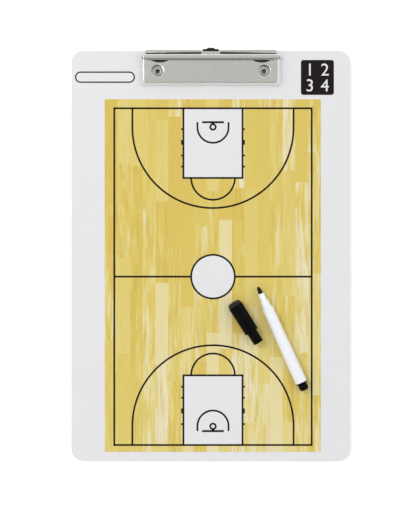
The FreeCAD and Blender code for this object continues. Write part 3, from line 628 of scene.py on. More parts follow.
square_middle = Vector((SQUARE["left"] + SQUARE["right"], SQUARE["front"] + SQUARE["rear"])) / 2
for number in range(4):
    numeral = bpy.data.curves.new(f"quarter_{number + 1}", "FONT")
    numeral.body = str(number + 1)
    numeral.size = NUMERAL_SIZE * MM
    numeral.align_x = "CENTER"
    numeral.extrude = NUMERAL_HALF_THICK * MM
    numeral_mesh = settled(placed(numeral.name, numeral))
    heights = [vertex.co.y for vertex in numeral_mesh.vertices]
    middle = (min(heights) + max(heights)) / 2
    for vertex in numeral_mesh.vertices:
        vertex.co.x += (square_middle.x + (number % 2 - 0.5) * NUMERAL_ACROSS) * MM
        vertex.co.y += (square_middle.y + (0.5 - number // 2) * NUMERAL_ALONG) * MM - middle
        vertex.co.z += (FACE + INK_HEIGHT + NUMERAL_HALF_THICK) * MM
    numeral_mesh.materials.append(white_ink)
    piece(f"quarter_numeral_{number + 1}", numeral_mesh, "board", "printed_film")


# Clip base plate: pressed steel sheet, riveted to the board, with a half-round bead along its rear edge.
# Two ears carry the hinge rod, and a channel down the middle guides the hanging tab.

SOFT_EDGE = 0.12
WELD_GAP = 0.0005
FLAT_WITHIN = 0.1
BEAD_FRONT = 174.4
BEAD_RADIUS = 1.6
BEAD_CROWN = 1.3
BEAD_FLATNESS = 2.4
CHANNEL_CLEAR = 9
# Behind this line, up to the bead, the base is painted dark as painted shade under the roll.
PAINTED_SHADE_FROM = 164.3

# Nickel plate on rolled steel: warm grey and satin-bright, with fine marks along the sheet's rolling.
nickel, tree, shader, where = new_finish("nickel_plated_steel")
rolling = (1 / (18 * MM), 1 / (0.35 * MM), 1 / (0.35 * MM))
rolled = node(tree, "ShaderNodeMapping", {"Vector": where, "Scale": rolling})
marks = node(tree, "ShaderNodeTexNoise", {"Vector": rolled, "Scale": 1, "Detail": 3})
cloud = node(tree, "ShaderNodeTexNoise", {"Vector": where, "Scale": 1 / (9 * MM), "Detail": 3})
tone = node(tree, "ShaderNodeMix", {0: cloud, 6: linear("#EAE9E5"), 7: linear("#F4F3EF")}, data_type="RGBA")
gloss = node(tree, "ShaderNodeMapRange", {"Value": marks, "To Min": 0.12, "To Max": 0.26})
relief = node(tree, "ShaderNodeBump", {"Height": marks, "Strength": 0.06, "Distance": 0.05 * MM})
feed(tree, shader, {"Base Color": tone.outputs[2], "Metallic": 1, "Roughness": gloss, "Normal": relief})

# Dull darkened steel: painted shade on the covered rear of the base under the roll and in the rivets' bores;
# the rod is drawn in the same dark steel.
shade_dark_steel = mottled(
    "oiled_unpolished_steel",
    grain=3,
    detail=4,
    dark="#4A4845",
    light="#6E6B67",
    roughness=(0.42, 0.6),
    Metallic=1,
)


def ease_edges(carrier, edge, steps, angle):
    """Round the edges of an object that turn by more degrees than this."""
    rounding = carrier.modifiers.new("rounding", "BEVEL")
    rounding.width = edge * MM
    rounding.segments = steps
    rounding.limit_method = "ANGLE"
    rounding.angle_limit = math.radians(angle)
    rounding.harden_normals = True
    rounding.use_clamp_overlap = False


def softened(node_name, material, edge, steps=2, reshape=None):
    """A copy of a node's mesh, with its loose triangles joined, reshaped if asked, and its edges rounded."""
    shape = bmesh.new()
    shape.from_mesh(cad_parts[node_name].data)
    bmesh.ops.remove_doubles(shape, verts=shape.verts, dist=WELD_GAP * MM)
    level = math.radians(FLAT_WITHIN)
    bmesh.ops.dissolve_limit(shape, angle_limit=level, verts=shape.verts, edges=shape.edges)
    if reshape:
        reshape(shape)
    carrier = placed(node_name, as_mesh(shape, material))
    ease_edges(carrier, edge, steps, angle=40)
    return settled(carrier)


def press_base(shape):
    """Flatten the crown of the half-round bead, and part the flat in front of the windows, where the painted
    shade starts.
    """
    for vertex in shape.verts:
        rise = vertex.co.z / MM - FACE
        if vertex.co.y > BEAD_FRONT * MM and rise > 0 and abs(vertex.co.x) > CHANNEL_CLEAR * MM:
            share = min(rise / BEAD_RADIUS, 1)
            vertex.co.z = (FACE + BEAD_CROWN * (1 - (1 - share) ** BEAD_FLATNESS)) * MM
    everything = shape.verts[:] + shape.edges[:] + shape.faces[:]
    bmesh.ops.bisect_plane(shape, geom=everything, plane_co=(0, PAINTED_SHADE_FROM * MM, 0), plane_no=(0, 1, 0))


base_mesh = softened("clip_base_plate", nickel, SOFT_EDGE, reshape=press_base)
# The strip under the roll, behind the windows, takes the dark steel as painted shade.
base_mesh.materials.append(shade_dark_steel)
for face in base_mesh.polygons:
    face.material_index = int(PAINTED_SHADE_FROM * MM < face.center.y < BEAD_FRONT * MM)
piece("base_pressing", base_mesh, "board", "nickel_steel", "clip_base_plate")


# Tab cover: a flat strip of the same nickel-plated sheet, cut to the channel's length.
# It is welded over the channel, and keeps the hanging tab down in it.

cover_mesh = softened("tab_cover", nickel, SOFT_EDGE)
piece("channel_cover", cover_mesh, "board", "nickel_steel", "tab_cover")


# Clip rivets: two hollow steel rivets that hold the base plate to the board.
# Their heads show through the clamp's holes, and their ends are rolled over in the back.

RIVET_SHANK = 2.48
RIVET_BORE = 1.9
RIVET_TAIL = {"from": 0.1, "to": 0.7, "radius": 3.6}
RIVET_HEAD = {"from": 3.7, "to": 4.5, "radius": 3.7}
BORE_FLOOR = 0.6
FLOOR_HOLE = 0.5
BORE_MARGIN = 0.05
HOLLOW_FROM = 0.2

# Bright steel: a little darker than the nickel sheet, tumbled smooth, with dull spots from the setting tool.
rivet_steel = mottled(
    "tumbled_rivet_steel",
    grain=0.8,
    detail=3,
    dark="#C9C8C2",
    light="#E2E1DC",
    roughness=(0.12, 0.36),
    relief=(0.15, 0.08),
    Metallic=1,
)


def eased(corners, closed=False, steps=4):
    """A line through corners, each given with the radius that rounds it. A radius of zero keeps it sharp."""
    line = []
    for spot, (corner, radius) in enumerate(corners):
        corner = Vector(corner)
        ends_here = not closed and spot in (0, len(corners) - 1)
        if radius == 0 or ends_here:
            line.append(corner)
            continue
        back = (Vector(corners[spot - 1][0]) - corner).normalized()
        ahead = (Vector(corners[(spot + 1) % len(corners)][0]) - corner).normalized()
        half = back.angle(ahead) / 2
        middle = corner + (back + ahead).normalized() * (radius / math.sin(half))
        start = (corner + back * (radius / math.tan(half)) - middle).normalized()
        finish = (corner + ahead * (radius / math.tan(half)) - middle).normalized()
        line += [middle + start.slerp(finish, step / steps) * radius for step in range(steps + 1)]
    return line


def turned(material, corners, base, toward, closed=False, steps=72, easing=4, crease=35):
    """A turned shape in mm. Each corner of its outline is a station on the axis, a radius and a rounding."""
    outline = eased([((station, radius), rounding) for station, radius, rounding in corners], closed, easing)
    axis = Vector(toward).normalized()
    level = Vector((0, 0, 1)) if abs(axis.z) < 0.9 else Vector((0, 1, 0))
    side = axis.cross(level).normalized()
    lift = side.cross(axis)
    shape = bmesh.new()
    rings = []
    for station, radius in outline:
        middle = Vector(base) + axis * station
        turns = [math.tau * step / steps for step in range(steps)] if radius > 0.0001 else [0]
        arms = [side * (radius * math.cos(turn)) + lift * (radius * math.sin(turn)) for turn in turns]
        rings.append([shape.verts.new((middle + arm) * MM) for arm in arms])
    pairs = list(zip(rings, rings[1:])) + ([(rings[-1], rings[0])] if closed else [])
    for one, other in pairs:
        for step in range(steps):
            around = [one[step % len(one)], one[(step + 1) % len(one)]]
            around += [other[(step + 1) % len(other)], other[step % len(other)]]
            corners_here = list(dict.fromkeys(around))
            if len(corners_here) > 2:
                shape.faces.new(corners_here)
    bmesh.ops.recalc_face_normals(shape, faces=shape.faces)
    return as_mesh(shape, material, crease)


rivet_corners = [
    (RIVET_TAIL["from"], FLOOR_HOLE, 0.2),
    (RIVET_TAIL["from"], RIVET_TAIL["radius"], 0.25),
    (RIVET_TAIL["to"], RIVET_TAIL["radius"], 0.15),
    (RIVET_TAIL["to"], RIVET_SHANK, 0),
    (RIVET_HEAD["from"], RIVET_SHANK, 0),
    (RIVET_HEAD["from"], RIVET_HEAD["radius"], 0.15),
    (RIVET_HEAD["to"], RIVET_HEAD["radius"], 0.5),
    (RIVET_HEAD["to"], RIVET_BORE, 0.45),
    (BORE_FLOOR, RIVET_BORE, 0.3),
    (BORE_FLOOR, FLOOR_HOLE, 0.1),
]
rivet_shape = turned(rivet_steel, rivet_corners, (0, 0, 0), (0, 0, 1), closed=True, steps=56)
hollow = rivet_shape.attributes.new("hollow", "BOOLEAN", "FACE")
for face in rivet_shape.polygons:
    within = face.center.xy.length < (RIVET_BORE + BORE_MARGIN) * MM
    hollow.data[face.index].value = within and face.center.z > HOLLOW_FROM * MM
rivet_tree, given = new_tree(
    "clip_rivets",
    {"Rivet": "NodeSocketObject", "Steel": "NodeSocketMaterial", "Hollow": "NodeSocketMaterial"},
)
pattern = node(rivet_tree, "GeometryNodeObjectInfo", {"Object": given["Rivet"]}).outputs["Geometry"]
set_in = node(rivet_tree, "GeometryNodeInstanceOnPoints", {"Points": given["Geometry"], "Instance": pattern})
inside = node(rivet_tree, "GeometryNodeInputNamedAttribute", {"Name": "hollow"}, data_type="BOOLEAN")
end_tree(rivet_tree, set_in, given["Steel"], inside, given["Hollow"])
rivet_points = bpy.data.meshes.new("rivet_points")
rivet_points.from_pydata([Vector((*spot, 0)) * MM for spot in RIVET_SPOTS], [], [])
rivet_pattern = placed("rivet_pattern", rivet_shape)
# The bores take the dark steel, a painted shade inside the hollow rivets.
rivet_values = {"Rivet": rivet_pattern, "Steel": rivet_steel, "Hollow": shade_dark_steel}
rivet_mesh = grown(rivet_points, rivet_tree, rivet_values)
bpy.data.objects.remove(rivet_pattern)
piece("hollow_rivets", rivet_mesh, "board", "rivet_steel", "clip_rivets")


# Hinge rod: a steel pin through the base plate's ears and the clamp's end lugs.
# It is cut from drawn rod, and both its ends are headed over so that it stays in.

HINGE = Vector((0, 170.4, 8))
ROD_RADIUS = 0.8
ROD_HEAD = {"from": 58.15, "to": 58.75, "radius": 1.4}

rod_half = [
    (ROD_HEAD["from"], ROD_RADIUS, 0),
    (ROD_HEAD["from"], ROD_HEAD["radius"], 0.1),
    (ROD_HEAD["to"], ROD_HEAD["radius"], 0.4),
    (ROD_HEAD["to"], 0, 0),
]
rod_corners = [(-station, radius, rounding) for station, radius, rounding in reversed(rod_half)] + rod_half
# The rod is drawn in the same dark steel, darker than the nickel sheet.
rod_mesh = turned(shade_dark_steel, rod_corners, HINGE, (1, 0, 0), steps=40)
piece("hinge_pin", rod_mesh, "board", "nickel_steel", "hinge_rod")


# Springs: two torsion springs of hard-drawn wire, threaded on the rod.
# One leg rests on the base plate behind the rod, and the other hooks through a side wall of the clamp.

COIL_RADIUS = 1.2
COIL_TURNS = 8
COIL_RISE = 1.05 / math.tau
COIL_END = 54.8
STEPS_A_TURN = 24
WIRE_RADIUS = 0.3
WIRE_SIDES = 12
REST_BACK = 3.2
REST_DOWN = 3.95
HOOK_RUN = 6.5
HOOK_BEND = 1.2
HOOK_END = 59.14

# Spring wire: drawn steel, darker than the plating, under a fine uneven film of oil.
wire_steel = mottled(
    "oiled_spring_wire",
    grain=0.3,
    detail=2,
    dark="#6E6C68",
    light="#9A9893",
    roughness=0.3,
    relief=(0.1, 0.03),
    Metallic=1,
)

wire_tree, given = new_tree("spring_wire", {"Wire radius": "NodeSocketFloat", "Steel": "NodeSocketMaterial"})
curve = node(wire_tree, "GeometryNodeMeshToCurve", {0: given["Geometry"]})
section = node(
    wire_tree,
    "GeometryNodeCurvePrimitiveCircle",
    {"Resolution": WIRE_SIDES, "Radius": given["Wire radius"]},
)
drawn = node(
    wire_tree,
    "GeometryNodeCurveToMesh",
    {"Curve": curve, "Profile Curve": section, "Fill Caps": True},
)
smooth = node(wire_tree, "GeometryNodeSetShadeSmooth", {0: drawn})
end_tree(wire_tree, smooth, given["Steel"])


def coil_spot(turn):
    """A point on the middle of the wire, for an angle wound from the bottom of the first turn."""
    across = COIL_END - COIL_RISE * (COIL_TURNS * math.tau - turn)
    return Vector((across, -COIL_RADIUS * math.sin(turn), -COIL_RADIUS * math.cos(turn)))


rest_length = math.sqrt(REST_BACK ** 2 + REST_DOWN ** 2 - COIL_RADIUS ** 2)
first_turn = math.atan2(
    rest_length * REST_DOWN - COIL_RADIUS * REST_BACK, rest_length * REST_BACK + COIL_RADIUS * REST_DOWN
)
last_turn = COIL_TURNS * math.tau
leaving = Vector((COIL_RISE, -COIL_RADIUS * math.cos(first_turn), COIL_RADIUS * math.sin(first_turn)))
rest_tip = coil_spot(first_turn) - leaving / COIL_RADIUS * rest_length
windings = STEPS_A_TURN * COIL_TURNS
coil = [coil_spot(first_turn + (last_turn - first_turn) * step / windings) for step in range(windings + 1)]
hook_corner = coil[-1] + Vector((COIL_RISE / COIL_RADIUS, -1, 0)) * HOOK_RUN
hook_tip = Vector((HOOK_END, hook_corner.y, hook_corner.z))
hook = eased([(coil[-1], 0), (hook_corner, HOOK_BEND), (hook_tip, 0)], steps=6)
for label, side in (("left", -1), ("right", 1)):
    wire_path = [(side * spot.x, HINGE.y + spot.y, HINGE.z + spot.z) for spot in [rest_tip] + coil + hook[1:]]
    wire_values = {"Wire radius": WIRE_RADIUS * MM, "Steel": wire_steel}
    spring = placed(f"{label}_torsion_spring", grown(strung([wire_path]), wire_tree, wire_values))
    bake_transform(spring)
    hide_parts(f"{label}_spring")


# Clamp plate: one pressing of nickel-plated sheet that rolls over the rod and presses papers to the board.
# It has two sloping side walls and a front lip, a hole over each rivet and a window in front of each spring.
# Its roll, flat and end lugs are sheets as thick as the steel, with a seam between the roll and the flat.

SHEET = 0.7
SHEET_EDGE = 0.14
FLAT_UP = 9
FLAT_RIM = 1.4
WALL_FOOT = 3.25
FOOT_EASE = 0.12
PAN_REAR = 168.25
PAN_FRONT = 148.6
PAN_HALF = 58
FOOT_FRONT = 146.2
FOOT_HALF = 61
FOOT_SEARCH = 8
PAN_CORNER = 2.5
BEND = 1
ROLL_RADIUS = 2.5
ROLL_SWEEP = 173.1
ROLL_END = 57.35
LUG_BORE = 0.86
ACCESS_RADIUS = 5.3
ACCESS_RIM = 0.6
SEAM_ALONG = 167.7
SEAM_HALF = 54.6
SEAM_SLANT = 0.6
WINDOW = {"middle": 43.7, "half": 7.7, "depth": 2}
FRONT_STATIONS = (0, 14, 28, 41, 50)
SIDE_STATIONS = (157, 160, 163.5, PAN_REAR)
CORNER_STEPS = 12
WINDOW_STEPS = 16
ROLL_STEPS = 40

# Inner nickel: the inside of the pressing, plated with the rest but never polished, so dull, and painted
# darker than the outside as painted shade under the clamp.
painted_shade_nickel = mottled(
    "unpolished_nickel_plate",
    grain=2.5,
    detail=4,
    dark="#A6A49F",
    light="#BDBBB6",
    roughness=(0.38, 0.55),
    Metallic=1,
)


def foot_reach(spot, way):
    """How far out the foot of the wall is from a point of the flat's edge."""
    near, far = 0, FOOT_SEARCH
    for _ in range(24):
        middle = (near + far) / 2
        place = spot + way * middle
        past_side = max(place.x - (FOOT_HALF - PAN_CORNER), 0)
        past_front = max(FOOT_FRONT + PAN_CORNER - place.y, 0)
        near, far = (middle, far) if math.hypot(past_side, past_front) < PAN_CORNER else (near, middle)
    return near


def wall_profile(spot, way):
    """A cut through the flat's edge, the bend and the wall, at a point of the edge."""
    edge = Vector((spot.x, spot.y, FLAT_UP))
    out = Vector((way.x, way.y, 0))
    foot = spot + way * foot_reach(spot, way)
    line = eased([(edge - out * FLAT_RIM, 0), (edge, BEND), ((foot.x, foot.y, WALL_FOOT), 0)], steps=6)
    return line[:-1] + [line[-2].lerp(line[-1], FOOT_EASE), line[-1]]


def thickened(shape):
    """A solid from a sheet: its outer face keeps its place, and its cut edges are rounded."""
    mesh = as_mesh(shape, nickel)
    mesh.materials.append(painted_shade_nickel)
    carrier = placed("sheet", mesh)
    solid = carrier.modifiers.new("sheet", "SOLIDIFY")
    solid.thickness = SHEET * MM
    solid.offset = -1
    solid.use_even_offset = True
    # The inner faces take the darker nickel, as painted shade.
    solid.material_offset = 1
    ease_edges(carrier, SHEET_EDGE, 3, angle=60)
    return settled(carrier)


edge_stations = [(Vector((across, PAN_FRONT)), Vector((0, -1))) for across in FRONT_STATIONS]
for step in range(CORNER_STEPS + 1):
    turn = math.radians(90 - 90 * step / CORNER_STEPS)
    way = Vector((math.cos(turn), -math.sin(turn)))
    edge_stations.append((Vector((PAN_HALF - PAN_CORNER, PAN_FRONT + PAN_CORNER)) + way * PAN_CORNER, way))
edge_stations += [(Vector((PAN_HALF, along)), Vector((1, 0))) for along in SIDE_STATIONS]
right_profiles = [wall_profile(spot, way) for spot, way in edge_stations]
left_profiles = [[Vector((-spot.x, spot.y, spot.z)) for spot in line] for line in right_profiles[:0:-1]]
pan = bmesh.new()
pan_rows = [[pan.verts.new(spot * MM) for spot in line] for line in left_profiles + right_profiles]
for one, other in zip(pan_rows, pan_rows[1:]):
    for step in range(len(one) - 1):
        pan.faces.new((one[step], one[step + 1], other[step + 1], other[step]))
flat_edges = [pan.edges.get((one[0], other[0])) for one, other in zip(pan_rows, pan_rows[1:])]
for across, along in RIVET_SPOTS:
    rim, support = (
        [pan.verts.new(Vector((*spot, FLAT_UP)) * MM) for spot in round_hole(across, along, radius)(0)]
        for radius in (ACCESS_RADIUS, ACCESS_RADIUS + ACCESS_RIM)
    )
    for step in range(len(rim)):
        pan.faces.new((rim[step - 1], rim[step], support[step], support[step - 1]))
        flat_edges.append(pan.edges.get((support[step - 1], support[step])))
rear_line = [(-SEAM_HALF - SEAM_SLANT, PAN_REAR), (-SEAM_HALF, SEAM_ALONG)]
window_bow = (WINDOW["half"] ** 2 + WINDOW["depth"] ** 2) / (2 * WINDOW["depth"])
window_swing = math.asin(WINDOW["half"] / window_bow)
for side in (-1, 1):
    for step in range(WINDOW_STEPS + 1):
        turn = window_swing * (2 * step / WINDOW_STEPS - 1)
        across = side * WINDOW["middle"] + window_bow * math.sin(turn)
        rear_line.append((across, SEAM_ALONG - WINDOW["depth"] + window_bow * (1 - math.cos(turn))))
rear_line += [(SEAM_HALF, SEAM_ALONG), (SEAM_HALF + SEAM_SLANT, PAN_REAR)]
rear_verts = [pan.verts.new(Vector((*spot, FLAT_UP)) * MM) for spot in rear_line]
rear_verts = [pan_rows[0][0]] + rear_verts + [pan_rows[-1][0]]
flat_edges += [pan.edges.new(pair) for pair in zip(rear_verts, rear_verts[1:])]
bmesh.ops.triangle_fill(pan, use_beauty=True, edges=flat_edges, normal=(0, 0, 1))
bmesh.ops.recalc_face_normals(pan, faces=pan.faces)
if min(face.normal.z for face in pan.faces) < 0:
    bmesh.ops.reverse_faces(pan, faces=pan.faces)

roll = bmesh.new()
roll_rows = []
for step in range(ROLL_STEPS + 1):
    turn = math.radians(ROLL_SWEEP * step / ROLL_STEPS)
    along = HINGE.y + ROLL_RADIUS * math.cos(turn)
    up = HINGE.z + ROLL_RADIUS * math.sin(turn)
    roll_rows.append([roll.verts.new(Vector((across, along, up)) * MM) for across in (-ROLL_END, ROLL_END)])
for one, other in zip(roll_rows, roll_rows[1:]):
    roll.faces.new((one[0], other[0], other[1], one[1]))

clamp_parts = [thickened(pan), thickened(roll)]
lug_corners = [(ROLL_END, LUG_BORE, 0.1), (ROLL_END, ROLL_RADIUS, 0)]
lug_corners += [(PAN_HALF, ROLL_RADIUS, 0.5), (PAN_HALF, LUG_BORE, 0.1)]
clamp_parts += [turned(nickel, lug_corners, HINGE, (side, 0, 0), closed=True) for side in (-1, 1)]
whole = bmesh.new()
for part_mesh in clamp_parts:
    whole.from_mesh(part_mesh)
clamp_mesh = as_mesh(whole, nickel)
clamp_mesh.materials.append(painted_shade_nickel)
clamp = placed("clamp", clamp_mesh)
clamp.modifiers.new("shading", "WEIGHTED_NORMAL").keep_sharp = True
piece("clamp_pressing", settled(clamp), "clamp", "nickel_steel", "clamp_plate")


# Hanging tab: a black moulded strip that slides in the base plate's channel, under the cover.
# It pulls out behind the clip, so that its hole can hang the board on a hook.

TAB_EDGE = 0.18

# Moulded polypropylene: black with a fine eroded texture from the mould.
tab_plastic = mottled(
    "eroded_black_polypropylene",
    grain=0.35,
    detail=4,
    dark="#0A0A0A",
    light="#151514",
    roughness=0.45,
    relief=(0.3, 0.04),
    **{"Specular IOR Level": 0.2},
)
piece("pull_tab", softened("hanging_tab", tab_plastic, TAB_EDGE, 3), "tab", "tab_plastic", "hanging_tab")


# Tab stop: a small solid steel rivet set in the tab's cover.
# Its shank stands in the tab's slot, and keeps the tab from being pulled right out.

STOP_FOOT = (0, 166.7, 3.1)
STOP_SHANK = {"radius": 1.5, "to": 2}
STOP_HEAD = {"radius": 2.4, "to": 2.5}

stop_corners = [
    (0, 0, 0),
    (0, STOP_SHANK["radius"], 0.1),
    (STOP_SHANK["to"], STOP_SHANK["radius"], 0),
    (STOP_SHANK["to"], STOP_HEAD["radius"], 0.05),
    (STOP_HEAD["to"], STOP_HEAD["radius"], 0.35),
    (STOP_HEAD["to"], 0, 0),
]
stop_mesh = turned(rivet_steel, stop_corners, STOP_FOOT, (0, 0, 1), steps=40)
piece("tab_stop", stop_mesh, "board", "rivet_steel", "tab_stop_rivet")


# Marker barrel: a white injection-moulded tube that tapers a little towards the nib.
# The marker lies on the board with its nib up the court.

MARKER_TAIL = (80.6, -115, 8.45)
MARKER_TURN = math.radians(114.5)
MARKER_WAY = (math.cos(MARKER_TURN), math.sin(MARKER_TURN), 0)
BARREL_START = 7.3
BARREL_END = 77.7
BARREL_RADIUS = 5.15
BARREL_FRONT_RADIUS = 4.8
BARREL_BORE = 3.6

# Glossy polypropylene: a clean, slightly blue white that glows a little at its edges.
white_plastic = mottled(
    "glossy_white_polypropylene",
    grain=6,
    detail=2,
    dark="#EBEDF3",
    light="#F6F7FA",
    roughness=0.3,
    relief=(0.1, 0.1),
    IOR=1.49,
    **{"Subsurface Weight": 0.15, "Subsurface Scale": 0.5 * MM},
)

barrel_corners = [
    (BARREL_START, BARREL_BORE, 0),
    (BARREL_START, BARREL_RADIUS, 0.12),
    (BARREL_END, BARREL_FRONT_RADIUS, 0.4),
    (BARREL_END, BARREL_BORE, 0),
]
barrel_mesh = turned(white_plastic, barrel_corners, MARKER_TAIL, MARKER_WAY, closed=True)
piece("marker_tube", barrel_mesh, "marker", "barrel_plastic", "marker_barrel")


# End plug: a black moulded stopper pressed into the barrel's tail.
# It has a rounded knob, a flange as wide as the barrel, and a small dimple from the mould.

PLUG_SHANK = 3.58
KNOB_RADIUS = 3.9
FLANGE_START = 6.3
PLUG_END = 14.3
DIMPLE = {"depth": 0.4, "floor": 1.2, "rim": 1.6}

# Glossy black polypropylene: deep black with a soft moulded sheen and the odd handling scuff.
black_plastic = mottled(
    "glossy_black_polypropylene",
    grain=1.6,
    detail=5,
    dark="#050505",
    light="#0F0E0E",
    roughness=(0.14, 0.34),
    relief=(0.08, 0.05),
    coarse=0.65,
    worn=(0.45, 0.75),
    **{"Specular IOR Level": 0.05},
)

plug_corners = [
    (DIMPLE["depth"], 0, 0),
    (DIMPLE["depth"], DIMPLE["floor"], 0.2),
    (0, DIMPLE["rim"], 0.2),
    (0, KNOB_RADIUS, 1.8),
    (FLANGE_START, KNOB_RADIUS, 0.2),
    (FLANGE_START, BARREL_RADIUS, 0.25),
    (BARREL_START, BARREL_RADIUS, 0.08),
    (BARREL_START, PLUG_SHANK, 0),
    (PLUG_END, PLUG_SHANK, 0.3),
    (PLUG_END, 0, 0),
]
plug_mesh = turned(black_plastic, plug_corners, MARKER_TAIL, MARKER_WAY)
piece("marker_tail_plug", plug_mesh, "marker", "cap_plastic", "marker_end_plug")


# Nib holder: a white moulded collar in two steps, pressed into the front of the barrel.
# The cap grips its wide step, and its narrow tube holds the nib.

COLLAR_START = 69.7
COLLAR_STEP = 83.9
COLLAR_END = 90.8
COLLAR_WIDE = (3.9, 3.6)
COLLAR_NARROW = (2.85, 2.6)
NIB_BORE = 1.92

collar_corners = [
    (COLLAR_START, NIB_BORE, 0),
    (COLLAR_START, PLUG_SHANK, 0.2),
    (BARREL_END, PLUG_SHANK, 0),
    (BARREL_END, COLLAR_WIDE[0], 0.1),
    (COLLAR_STEP, COLLAR_WIDE[1], 0.3),
    (COLLAR_STEP, COLLAR_NARROW[0], 0.25),
    (COLLAR_END, COLLAR_NARROW[1], 0.3),
    (COLLAR_END, NIB_BORE, 0.1),
]
collar_mesh = turned(white_plastic, collar_corners, MARKER_TAIL, MARKER_WAY, closed=True)
piece("marker_collar", collar_mesh, "marker", "barrel_plastic", "marker_nib_holder")


# Nib: a rod of bonded polyester fibre, pressed into the collar's tube and wet with black ink.
# Its front is ground to a blunt bullet.

NIB_RADIUS = 1.9
NIB_SHOULDER = 93.5
NIB_TIP = 97.1

# Inked fibre: black, with fibres along the rod that show as fine dull lines.
inked_fibre, tree, shader, where = new_finish("inked_polyester_fibre")
in_line = node(tree, "ShaderNodeMapping", {"Vector": where, "Rotation": (0, 0, -MARKER_TURN)})
drawing = (1 / (4 * MM), 1 / (0.25 * MM), 1 / (0.25 * MM))
drawn_out = node(tree, "ShaderNodeMapping", {"Vector": in_line, "Scale": drawing})
fibres = node(tree, "ShaderNodeTexNoise", {"Vector": drawn_out, "Scale": 1, "Detail": 3})
tone = node(tree, "ShaderNodeMix", {0: fibres, 6: linear("#080707"), 7: linear("#1A1616")}, data_type="RGBA")
relief = node(tree, "ShaderNodeBump", {"Height": fibres, "Strength": 0.5, "Distance": 0.05 * MM})
fibre_surface = {"Base Color": tone.outputs[2], "Roughness": 0.6, "Normal": relief}
feed(tree, shader, {**fibre_surface, "Specular IOR Level": 0.2})

nib_corners = [
    (COLLAR_START, 0, 0),
    (COLLAR_START, NIB_RADIUS, 0.1),
    (NIB_SHOULDER, NIB_RADIUS, 4),
    (96.3, 1.3, 1.2),
    (NIB_TIP, 0.45, 0.3),
    (NIB_TIP, 0, 0),
]
nib_mesh = turned(inked_fibre, nib_corners, MARKER_TAIL, MARKER_WAY, steps=48)
piece("marker_bullet_nib", nib_mesh, "marker", "nib_fibre", "marker_nib")


# Ink core and its wrap: a rod of soft fibre that holds the ink, in a thin sleeve of milky film.
# Both are shut in the barrel, so they keep their plain shapes.

# Soaked fibre: dark grey and matt, and darker where it holds more ink.
soaked_fibre = mottled(
    "soaked_polyester_fibre",
    grain=0.4,
    detail=3,
    dark="#17161A",
    light="#34323A",
    roughness=0.85,
)
dress("marker_ink_core", soaked_fibre)

# Wrap film: thin milky polypropylene, a little wrinkled.
wrap_film = mottled(
    "milky_polypropylene_film",
    grain=1.2,
    detail=2,
    dark="#C9CCD2",
    light="#E1E3E8",
    roughness=0.25,
    relief=(0.3, 0.1),
    IOR=1.49,
)
dress("marker_ink_wrap", wrap_film)


# Cap: a black moulded cap, off the marker and lying beside it with its narrow mouth down the court.
# The mouth slips over the marker's collar, and the wide head holds a felt wiper.

CAP_MOUTH = Vector((41, -74.3, 9.75))
CAP_TURN = math.radians(122.3)
CAP_WAY = Vector((math.cos(CAP_TURN), math.sin(CAP_TURN), 0))
MOUTH_RADIUS = 4.43
MOUTH_BORE = 3.93
HEAD_START = 10.9
HEAD_END = 37.1
HEAD_RADIUS = (6.1, 6.45)
HEAD_BORE = 5.2
BORE_STEP = 12.1

cap_corners = [
    (0, MOUTH_BORE, 0.12),
    (0, MOUTH_RADIUS, 0.2),
    (HEAD_START, MOUTH_RADIUS, 0.25),
    (HEAD_START, HEAD_RADIUS[0], 0.5),
    (HEAD_END, HEAD_RADIUS[1], 0.35),
    (HEAD_END, HEAD_BORE, 0.1),
    (BORE_STEP, HEAD_BORE, 0),
    (BORE_STEP, MOUTH_BORE, 0),
]
cap_mesh = turned(black_plastic, cap_corners, CAP_MOUTH, CAP_WAY, closed=True)
piece("marker_cap", cap_mesh, "cap", "cap_plastic", "cap_shell")


# Seal liner: a soft milky cup, moulded and pressed into the cap, that closes round the nib.
# It is shut inside, so it keeps its plain shape.

# Soft polyethylene: milky and waxy.
waxy_plastic = mottled(
    "milky_polyethylene",
    grain=2,
    detail=2,
    dark="#CFCFC9",
    light="#E2E2DD",
    roughness=0.4,
    IOR=1.51,
)
dress("cap_seal_liner", waxy_plastic)


# Felt wiper: a plug of pressed wool felt, glued in the end of the cap's head.
# Its end is trimmed to a dome, fuzzy and dark from wiping off ink.

FELT_FOOT = 26.1
FELT_SHANK = 5.18
FELT_RADIUS = 5.9
FELT_END = 40.85
FELT_LIP = 0.2
LUMPS = [(0.9, 0.1), (0.3, 0.05)]
HAIRS = {"per_mm2": 14, "length": 0.55, "radius": 0.03}
HAIR_LEAN = (1.1, 1.1, 3.1)

# Wool felt: dark grey-brown with ink worked into it, matt, with fine matted hairs.
felt_wool, tree, shader, where = new_finish("inked_wool_felt")
matted = node(
    tree,
    "ShaderNodeTexNoise",
    {"Vector": where, "Scale": 1 / (0.5 * MM), "Detail": 5, "Roughness": 0.7},
)
stains = node(tree, "ShaderNodeTexNoise", {"Vector": where, "Scale": 1 / (4 * MM), "Detail": 2})
tone = node(tree, "ShaderNodeMix", {0: matted, 6: linear("#0F0C0A"), 7: linear("#403830")}, data_type="RGBA")
inky = {0: stains, 6: tone.outputs[2], 7: linear("#0C0A09")}
soiled = node(tree, "ShaderNodeMix", inky, data_type="RGBA")
relief = node(tree, "ShaderNodeBump", {"Height": matted, "Strength": 0.8, "Distance": 0.2 * MM})
felt_surface = {"Base Color": soiled.outputs[2], "Roughness": 0.95, "Normal": relief}
feed(tree, shader, {**felt_surface, "Sheen Weight": 0.5, "Sheen Roughness": 0.3})

